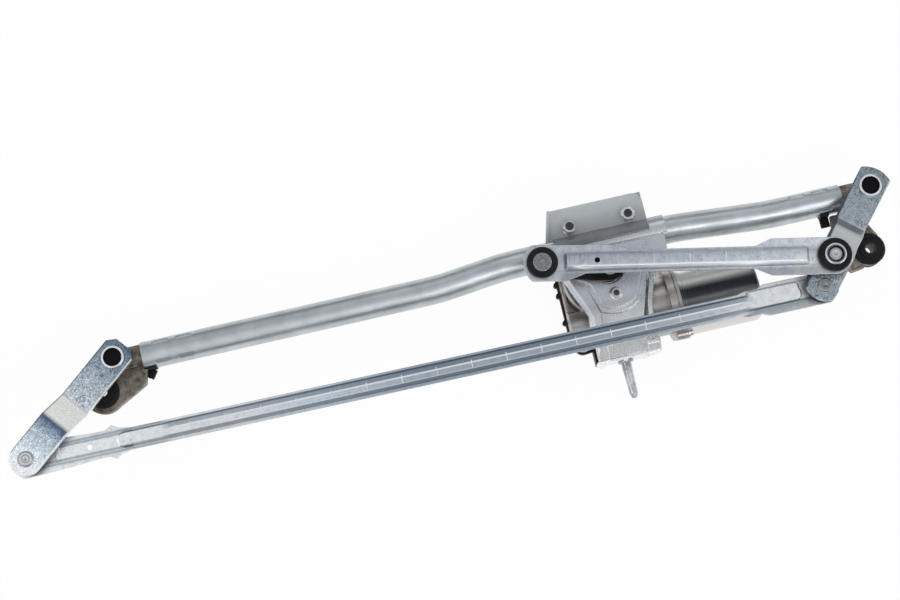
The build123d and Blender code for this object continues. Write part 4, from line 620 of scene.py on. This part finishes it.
def levels(tree, along, stops):
    """A number that changes along a piece, from pairs of a distance in mm and the number."""
    shades = tones(tree, along, [(distance, (level, 0, 0)) for distance, level in stops])
    return add_node(tree, "ShaderNodeSeparateColor", Color=shades).outputs["Red"]


def with_flakes(tree, zinc, edge, cloud_span, clearest, speckle, light, dark):
    """Zinc's light colour with dark flakes in cloudy patches, and none on its worn edges."""
    cloudy = spread(tree, zinc["Cloud"], *cloud_span, clearest, 1.0)
    share = maths(tree, "MULTIPLY", maths(tree, "MULTIPLY", zinc["Flake"], cloudy), speckle)
    bare = maths(tree, "SUBTRACT", 1.0, edge["Mask"])
    return blend_colours(tree, maths(tree, "MULTIPLY", share, bare), light, dark)


def spangled_strap(name, node, start, heading, tints_and_painted_light, flakes, speckle_stops):
    """A zinc-coated strap whose colour, dark flakes and amount of speckle change along it, the colour and
    flakes as painted light and shade.
    """
    material, tree, where = new_finish(name)
    along, across = along_piece(tree, where, start, heading)
    zinc = place_effect(tree, spangle_group, Vector=where, Size=flake_size)
    edge = place_effect(tree, edge_group, Radius=strap_edge, Gain=strap_wear)
    speckle = levels(tree, along, speckle_stops)
    # The colour along the strap carries painted light and shade.
    light = tones(tree, along, tints_and_painted_light)
    dark = tones(tree, along, flakes)
    mixed = with_flakes(tree, zinc, edge, (0.38, 0.6), 0.35, speckle, light, dark)
    # Painted shade along the far sheared edge and a painted highlight along the near one.
    painted_far_rim_shade = spread(tree, across, -strap_half, far_rim_width - strap_half, 0.9, 0.0)
    mixed = blend_colours(tree, painted_far_rim_shade, mixed, sheared_edge_painted_shade)
    painted_near_rim_highlight = spread(tree, across, strap_half - near_rim_width, strap_half - near_rim_full, 0.0, 0.85)
    mixed = blend_colours(tree, painted_near_rim_highlight, mixed, rubbed_zinc_and_painted_highlight)
    rough = spread(tree, zinc["Flake"], 0.0, 1.0, 0.26, 0.44)
    leaning = add_node(
        tree, "ShaderNodeVectorMath", {"operation": "SCALE"}, i0=zinc["Lean"], Scale=speckle
    ).outputs[0]
    height = maths(tree, "MULTIPLY", zinc["Flake"], speckle)
    metal_surface(tree, mixed, rough, height, flake_depth, edge, lean=leaning)
    dress(material, node)


spangled_strap(
    "left_arm_zinc", "left_rocker_arm", left_pivot, left_arm_heading,
    left_arm_tints_and_painted_light, left_arm_flakes, left_arm_speckle,
)
spangled_strap(
    "right_arm_zinc", "right_rocker_arm", right_pivot, right_arm_heading,
    right_arm_tints_and_painted_light, right_arm_flakes, right_arm_speckle,
)
# The crank is coloured near-black as painted shade under the drive rod.
crank_steel = plated_steel("crank_steel", (0.03, 0.03, 0.032, 1), (0.015, 0.015, 0.016, 1), 0.45)
dress(crank_steel, "crank_arm")
dress(zinc_fastener, "crank_nut")

# Rods
# Two pressed steel channels with a bead along the middle. Small cross marks from the
# stamping tool stand on the bead, about every 31 mm. The slopes are coloured darker than the
# flat places as painted shade, the colour along each rod carries painted light, and bright
# lines along the bead are painted highlights.
drive_rod_start = (379.776, -7.236)
drive_rod_heading = -11.4
drive_rod_flakes = (0.2, 0.23, 0.28, 1)
# Drive rod: the colour along it carries painted light, and the profiles across it carry painted shade on
# the slopes and painted highlights on the bead.
drive_rod_tints_and_painted_light = (
    (-20, (0.66, 0.69, 0.73)), (60, (0.66, 0.7, 0.75)), (190, (0.8, 0.84, 0.88)),
    (250, (0.92, 0.95, 0.98)),
)
drive_rod_painted_shade_profiles = (
    (-20, ((-15, (1, 1, 1)), (15, (0.95, 0.96, 0.97)))),
    (20, (
        (-10.4, (0.6, 0.6, 0.6)), (-9, (0.75, 0.75, 0.75)), (-7.4, (0.7, 0.7, 0.7)), (-6, (1, 1, 1)),
        (-3.5, (1, 1, 1)), (3.5, (0.76, 0.77, 0.78)), (5, (0.62, 0.63, 0.65)), (8, (0.8, 0.81, 0.82)),
        (10.4, (0.95, 0.96, 0.97)),
    )),
)
# Bright lines along the drive rod's bead: painted highlights.
drive_rod_highlight_lines = (24, 225, ((-7.2, 0), (-6.2, 1), (-4.6, 1), (-3.8, 0)))
long_rod_start = (-87.194, -71.877)
long_rod_heading = -0.589
long_rod_flakes = (0.16, 0.2, 0.25, 1)
# Long rod: the colour along it carries painted light, brightest at the ends, and the profiles across it
# carry painted shade and painted highlights.
long_rod_tints_and_painted_light = (
    (-20, (1, 1, 1)), (180, (0.94, 0.97, 1)), (260, (0.72, 0.8, 0.88)), (340, (0.5, 0.57, 0.65)),
    (520, (0.42, 0.48, 0.54)), (600, (0.62, 0.67, 0.72)), (645, (0.95, 0.97, 1)), (690, (1, 1, 1)),
)
long_rod_painted_shade_profiles = (
    (-20, (
        (-11.5, (0.95, 0.96, 0.97)), (-9.8, (0.85, 0.87, 0.88)), (-8.6, (0.45, 0.48, 0.5)),
        (-7.2, (0.75, 0.77, 0.78)), (-5.6, (0.4, 0.43, 0.45)), (-4, (1, 1, 1)), (4.6, (1, 1, 1)),
        (5.8, (0.45, 0.48, 0.5)), (7.2, (0.62, 0.65, 0.68)), (8.8, (0.42, 0.44, 0.46)),
        (9.8, (0.85, 0.87, 0.88)), (11.5, (0.95, 0.96, 0.97)),
    )),
    (124, (
        (-10, (0.3, 0.3, 0.3)), (-9.2, (0.95, 0.95, 0.95)), (-7.6, (0.85, 0.85, 0.85)),
        (-6.2, (0.4, 0.4, 0.4)), (-4.6, (0.38, 0.39, 0.4)), (-3.6, (1, 1, 1)), (1, (1, 1, 1)),
        (2.2, (0.55, 0.58, 0.62)), (5.4, (0.5, 0.53, 0.57)), (6.4, (0.3, 0.32, 0.35)),
        (7.4, (0.32, 0.34, 0.37)), (8.2, (1, 1, 1)), (9.6, (1, 1, 1)),
    )),
    (640, (
        (-12, (0.55, 0.57, 0.58)), (-7.6, (0.42, 0.45, 0.47)), (-6, (0.2, 0.22, 0.25)),
        (-4.6, (1, 1, 1)), (9.4, (1, 1, 1)), (10.2, (0.5, 0.52, 0.55)), (11, (1, 1, 1)),
    )),
)
# Bright lines along the long rod's bead: painted highlights.
long_rod_highlight_lines = (
    122, 628, ((-4.6, 0), (-3.9, 0.55), (-3.2, 0), (0.4, 0), (1.0, 1), (1.7, 1), (2.3, 0)),
)
rod_edge = 0.8 * mm
profile_fade = 8
line_fade = 6
mark_length = 0.9 * mm
mark_height = 0.35 * mm
mark_bevel = 0.12 * mm
drive_mark_places = [64.7 + 31 * step for step in range(5)]
drive_mark_width = 7.6 * mm
drive_bead_top = 118 * mm
long_mark_places = [142 + 30.9 * step for step in range(15)]
long_mark_width = 7.0 * mm
long_bead_top = 90 * mm


def rod_zinc(name, node, start, heading, tints_and_painted_light, profiles, lines, flakes, roughness, speckle):
    """Zinc on a rod, its colour along it carrying painted light and shade, and its colour across it painted
    shade and highlights from profiles that begin at places in mm.

    The lines are painted highlights at places across the rod, between a start and an end along it.
    """
    material, tree, where = new_finish(name)
    zinc = place_effect(tree, spangle_group, Vector=where, Size=flake_size)
    edge = place_effect(tree, edge_group, Radius=rod_edge)
    along, across = along_piece(tree, where, start, heading)
    # Profiles across the rod: painted shade and highlights.
    painted_profile_shade = tones(tree, across, profiles[0][1])
    for begin, stops in profiles[1:]:
        reached = spread(tree, along, (begin - profile_fade) * mm, begin * mm)
        painted_profile_shade = blend_colours(tree, reached, painted_profile_shade, tones(tree, across, stops))
    # The colour along the rod times the profile across it: painted light and shade.
    tint_with_painted_light = blend_colours(tree, 1.0, tones(tree, along, tints_and_painted_light), painted_profile_shade, "MULTIPLY")
    mixed = with_flakes(tree, zinc, edge, (0.4, 0.65), 0.0, speckle, tint_with_painted_light, flakes)
    line_start, line_end, line_stops = lines
    begun = spread(tree, along, line_start * mm, (line_start + line_fade) * mm)
    going_on = spread(tree, along, line_end * mm, (line_end + line_fade) * mm, 1.0, 0.0)
    # Painted highlights: bright lines along the rod, at places across it.
    wear_and_painted_highlight = maths(tree, "MULTIPLY", levels(tree, across, line_stops), begun)
    wear_and_painted_highlight = maths(tree, "MULTIPLY", wear_and_painted_highlight, going_on)
    mixed = blend_colours(tree, wear_and_painted_highlight, mixed, rubbed_zinc_and_painted_highlight)
    rough = spread(tree, zinc["Flake"], 0.0, 1.0, roughness - 0.06, roughness + 0.1)
    metal_surface(tree, mixed, rough, zinc["Flake"], flake_depth, edge)
    dress(material, node)


def cross_marks(name, body, material, start, heading, places, width, top):
    """Low stamped ribs across a rod's bead, at distances in mm from its first ball."""
    bpy.ops.object.select_all(action="DESELECT")
    turned = math.radians(heading)
    ribs = []
    for place in places:
        x = (start[0] + place * math.cos(turned)) * mm
        y = (start[1] + place * math.sin(turned)) * mm
        bpy.ops.mesh.primitive_cube_add(size=1, location=(x, y, top), rotation=(0, 0, turned))
        rib = bpy.context.object
        rib.scale = (mark_length, width, 2 * mark_height)
        ribs.append(rib)
    for rib in ribs:
        rib.select_set(True)
    bpy.context.view_layer.objects.active = ribs[0]
    bpy.ops.object.transform_apply(location=True, rotation=True, scale=True)
    bpy.ops.object.join()
    bpy.ops.object.mode_set(mode="EDIT")
    bpy.ops.mesh.select_all(action="SELECT")
    bpy.ops.mesh.bevel(offset=mark_bevel, segments=2)
    bpy.ops.object.mode_set(mode="OBJECT")
    marks = bpy.context.object
    marks.name = name
    marks.data.materials.append(material)
    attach(marks, body)


rod_zinc(
    "drive_rod_zinc", "drive_rod", drive_rod_start, drive_rod_heading,
    drive_rod_tints_and_painted_light, drive_rod_painted_shade_profiles, drive_rod_highlight_lines, drive_rod_flakes, 0.36, 0.7,
)
rod_zinc(
    "long_rod_zinc", "long_rod", long_rod_start, long_rod_heading,
    long_rod_tints_and_painted_light, long_rod_painted_shade_profiles, long_rod_highlight_lines, long_rod_flakes, 0.34, 0.5,
)
mark_zinc = plated_steel("mark_zinc", rubbed_zinc_and_painted_highlight, bare_steel, 0.4)
cross_marks(
    "drive_rod_marks", "drive_link", mark_zinc, drive_rod_start, drive_rod_heading,
    drive_mark_places, drive_mark_width, drive_bead_top,
)
cross_marks(
    "long_rod_marks", "long_link", mark_zinc, long_rod_start, long_rod_heading,
    long_mark_places, long_mark_width, long_bead_top,
)

# Sockets and clips
# The rods' ball sockets and the clips under the tube's ends are black moulded plastic, a
# little shinier than the grommets. The sockets are snapped into the rods' ends.
socket_plastic = black_moulding("socket_plastic", (0.006, 0.006, 0.007, 1), (0.03, 0.03, 0.031, 1), 0.42)
dress(
    socket_plastic, "drive_rod_crank_socket", "drive_rod_rocker_socket", "long_rod_left_socket",
    "long_rod_right_socket", "left_tube_clip", "right_tube_clip",
)

# Motor bracket and clamp
# Bright pressed sheet, with a matt grey plate bolted over its flange. Their colour changes
# across them as painted light and shade, the plate darker towards the tube, and the edges of
# both carry a painted highlight. The bolt heads have a hollow top, coloured dark as painted
# shade, inside a bright rim. The locating pin is turned with flutes.
head_hollow_depth = 0.8 * mm
head_floor_reach = 0.1 * mm
# Dark colour of the bolt heads' hollows: painted shade.
hollow_painted_shade = (0.035, 0.045, 0.055, 1)
bolt_fineness = 1500.0
bolt_grain_depth = 0.02 * mm
sheet_fineness = 500.0
sheet_edge = 0.8 * mm
sheet_highlight_gain = 4.0
sheet_clouds = 0.3
# Colour across the bracket, from white skirt to darker flange: painted light and shade.
bracket_painted_light_stops = (
    (-90, (1, 1, 1)), (-66, (0.98, 0.99, 1)), (-60, (0.74, 0.76, 0.78)), (-50, (0.5, 0.52, 0.54)),
    (-44, (0.58, 0.62, 0.67)), (-10, (0.62, 0.66, 0.71)), (12, (0.6, 0.62, 0.64)),
    (24, (0.42, 0.45, 0.48)),
)
# Colour across the plate, darker towards the tube: painted shade.
plate_painted_shade_stops = (
    (10, (0.2, 0.21, 0.22)), (20, (0.34, 0.36, 0.37)), (34, (0.52, 0.55, 0.56)),
    (58, (0.74, 0.77, 0.76)),
)


def bolt_zinc(name, node):
    """A zinc-coated head whose pressed hollow is coloured dark as painted shade."""
    material, tree, where = new_finish(name)
    skin = place_effect(tree, cast_group, Vector=where, Fineness=bolt_fineness)
    edge = place_effect(tree, edge_group, Radius=fastener_edge)
    hollow_floor = top_of(node) - head_hollow_depth
    above_floor = maths(tree, "SUBTRACT", coordinate(tree, where, "Z"), hollow_floor)
    hollow = maths(tree, "LESS_THAN", maths(tree, "ABSOLUTE", above_floor), head_floor_reach)
    plain = blend_colours(tree, spread(tree, skin["Stains"], *shade_span), rubbed_zinc_and_painted_highlight, worked_grey)
    # The hollow's floor is coloured dark as painted shade.
    hollow_shade_colour = blend_colours(tree, spread(tree, skin["Grain"], 0.45, 0.7), hollow_painted_shade, worked_dark)
    mixed = blend_colours(tree, hollow, plain, hollow_shade_colour)
    rough = spread(tree, skin["Grain"], *grain_span, 0.2, 0.36)
    metal_surface(tree, mixed, rough, skin["Grain"], bolt_grain_depth, edge)
    dress(material, node)


def satin_sheet(name, node, stops, roughness, metallic, depth):
    """Smooth pressed sheet. Its colour changes from the skirt to the flange as painted light and shade,
    with soft clouds, and its edges carry a painted highlight.
    """
    material, tree, where = new_finish(name)
    skin = place_effect(tree, cast_group, Vector=where, Fineness=sheet_fineness)
    edge = place_effect(tree, edge_group, Radius=sheet_edge, Gain=sheet_highlight_gain)
    clouds = spread(tree, skin["Stains"], 0.4, 0.7, 0.0, sheet_clouds)
    tint_and_painted_shade = blend_colours(tree, clouds, tones(tree, coordinate(tree, where, "Y"), stops), worked_grey)
    # Painted highlight on the sheet's edges.
    mixed = blend_colours(tree, edge["Mask"], tint_and_painted_shade, rubbed_zinc_and_painted_highlight)
    rough = spread(tree, skin["Grain"], *grain_span, roughness - 0.04, roughness + 0.06)
    metal_surface(tree, mixed, rough, skin["Stains"], depth, edge, metallic)
    dress(material, node)


satin_sheet("bracket_sheet", "motor_bracket", bracket_painted_light_stops, 0.26, 0.6, 0.02 * mm)
satin_sheet("lower_clamp_sheet", "lower_clamp", bracket_painted_light_stops, 0.26, 0.6, 0.02 * mm)
satin_sheet("plate_sheet", "clamp_plate", plate_painted_shade_stops, 0.5, 0.85, 0.03 * mm)
bolt_zinc("clamp_bolt_zinc", "clamp_bolts")
bolt_zinc("motor_screw_zinc", "motor_screws")
dress(zinc_fastener, "clamp_nuts")
pin_metal = plated_steel("pin_metal", (0.8, 0.81, 0.81, 1), (0.16, 0.17, 0.19, 1), 0.26, 600.0)
dress(pin_metal, "locating_pin")

# Gear housing and cover
# The gear housing is a pale casting with a black seal on the boss round the crank's shaft.
# The cover under the gear, with the connector's socket, is black glass-filled plastic.
pale_casting_colour = (0.4, 0.375, 0.35, 1)
pale_casting_worn = (0.72, 0.7, 0.67, 1)
pale_casting_roughness = 0.34
pale_casting_depth = 0.04 * mm
crank_shaft_place = (438.592 * mm, -19.095 * mm, 0)
seal_radius = 13.8 * mm
seal_low = 75 * mm

pale_casting, tree, where = new_finish("pale_casting")
colour, grain, edge = cast_skin(tree, where, pale_casting_colour, pale_casting_worn)
turned = place_effect(tree, ring_group, Vector=where, Centre=crank_shaft_place)
near = maths(tree, "LESS_THAN", turned["Radius"], seal_radius)
high = maths(tree, "GREATER_THAN", coordinate(tree, where, "Z"), seal_low)
colour = blend_colours(tree, maths(tree, "MULTIPLY", near, high), colour, rubber_colour)
cast_surface(tree, colour, grain, edge, pale_casting_roughness, pale_casting_depth)
dress(pale_casting, "gear_housing")
cover_plastic = black_moulding("cover_plastic", (0.014, 0.014, 0.014, 1), (0.05, 0.05, 0.05, 1), 0.45)
dress(cover_plastic, "gear_cover", "brush_plate")
gear_plastic = black_moulding("gear_plastic", (0.72, 0.68, 0.58, 1), (0.8, 0.77, 0.7, 1), 0.4)
dress(gear_plastic, "worm_wheel")
dress(ground_steel, "output_shaft")
dress(bronze, "output_bushes", "connector_blades")
dress(zinc_fastener, "cover_screw")

# Motor
# The can is drawn from plated steel. Its colour carries a painted reflection in bands, darkest
# along its upper half.
# An armature of stacked sheets and enamelled copper turns between two magnets inside it.
can_fineness = 400.0
can_edge = 0.6 * mm
can_stain_depth = 0.01 * mm
# Bands across the can: a painted reflection, darkest along its upper half.
can_painted_reflection_stops = (
    (-88, (0.7, 0.68, 0.66)), (-78, (0.68, 0.66, 0.64)), (-66, (0.25, 0.25, 0.24)),
    (-61, (0.14, 0.145, 0.14)), (-58, (0.045, 0.048, 0.055)), (-51, (0.05, 0.053, 0.06)),
    (-46, (0.3, 0.3, 0.29)), (-38, (0.85, 0.84, 0.8)), (-24, (1, 0.99, 0.95)),
)

can_steel, tree, where = new_finish("can_steel")
skin = place_effect(tree, cast_group, Vector=where, Fineness=can_fineness)
edge = place_effect(tree, edge_group, Radius=can_edge)
# Painted reflection: the can's colour is banded across it.
painted_reflection_bands = tones(tree, coordinate(tree, where, "Y"), can_painted_reflection_stops)
colour = blend_colours(tree, edge["Mask"], painted_reflection_bands, worked_grey)
rough = spread(tree, skin["Stains"], *grain_span, 0.26, 0.32)
metal_surface(tree, colour, rough, skin["Stains"], can_stain_depth, edge)
dress(can_steel, "motor_can")
copper = plated_steel("copper", (0.75, 0.36, 0.2, 1), (0.5, 0.22, 0.12, 1), 0.35)
dress(copper, "armature_windings", "commutator")
core_steel = plated_steel("core_steel", (0.2, 0.2, 0.21, 1), (0.12, 0.12, 0.12, 1), 0.45)
dress(core_steel, "armature_core", "magnets")
dress(ground_steel, "armature_shaft")
dress(bronze, "motor_bearings")
dress(zinc_fastener, "can_screws")
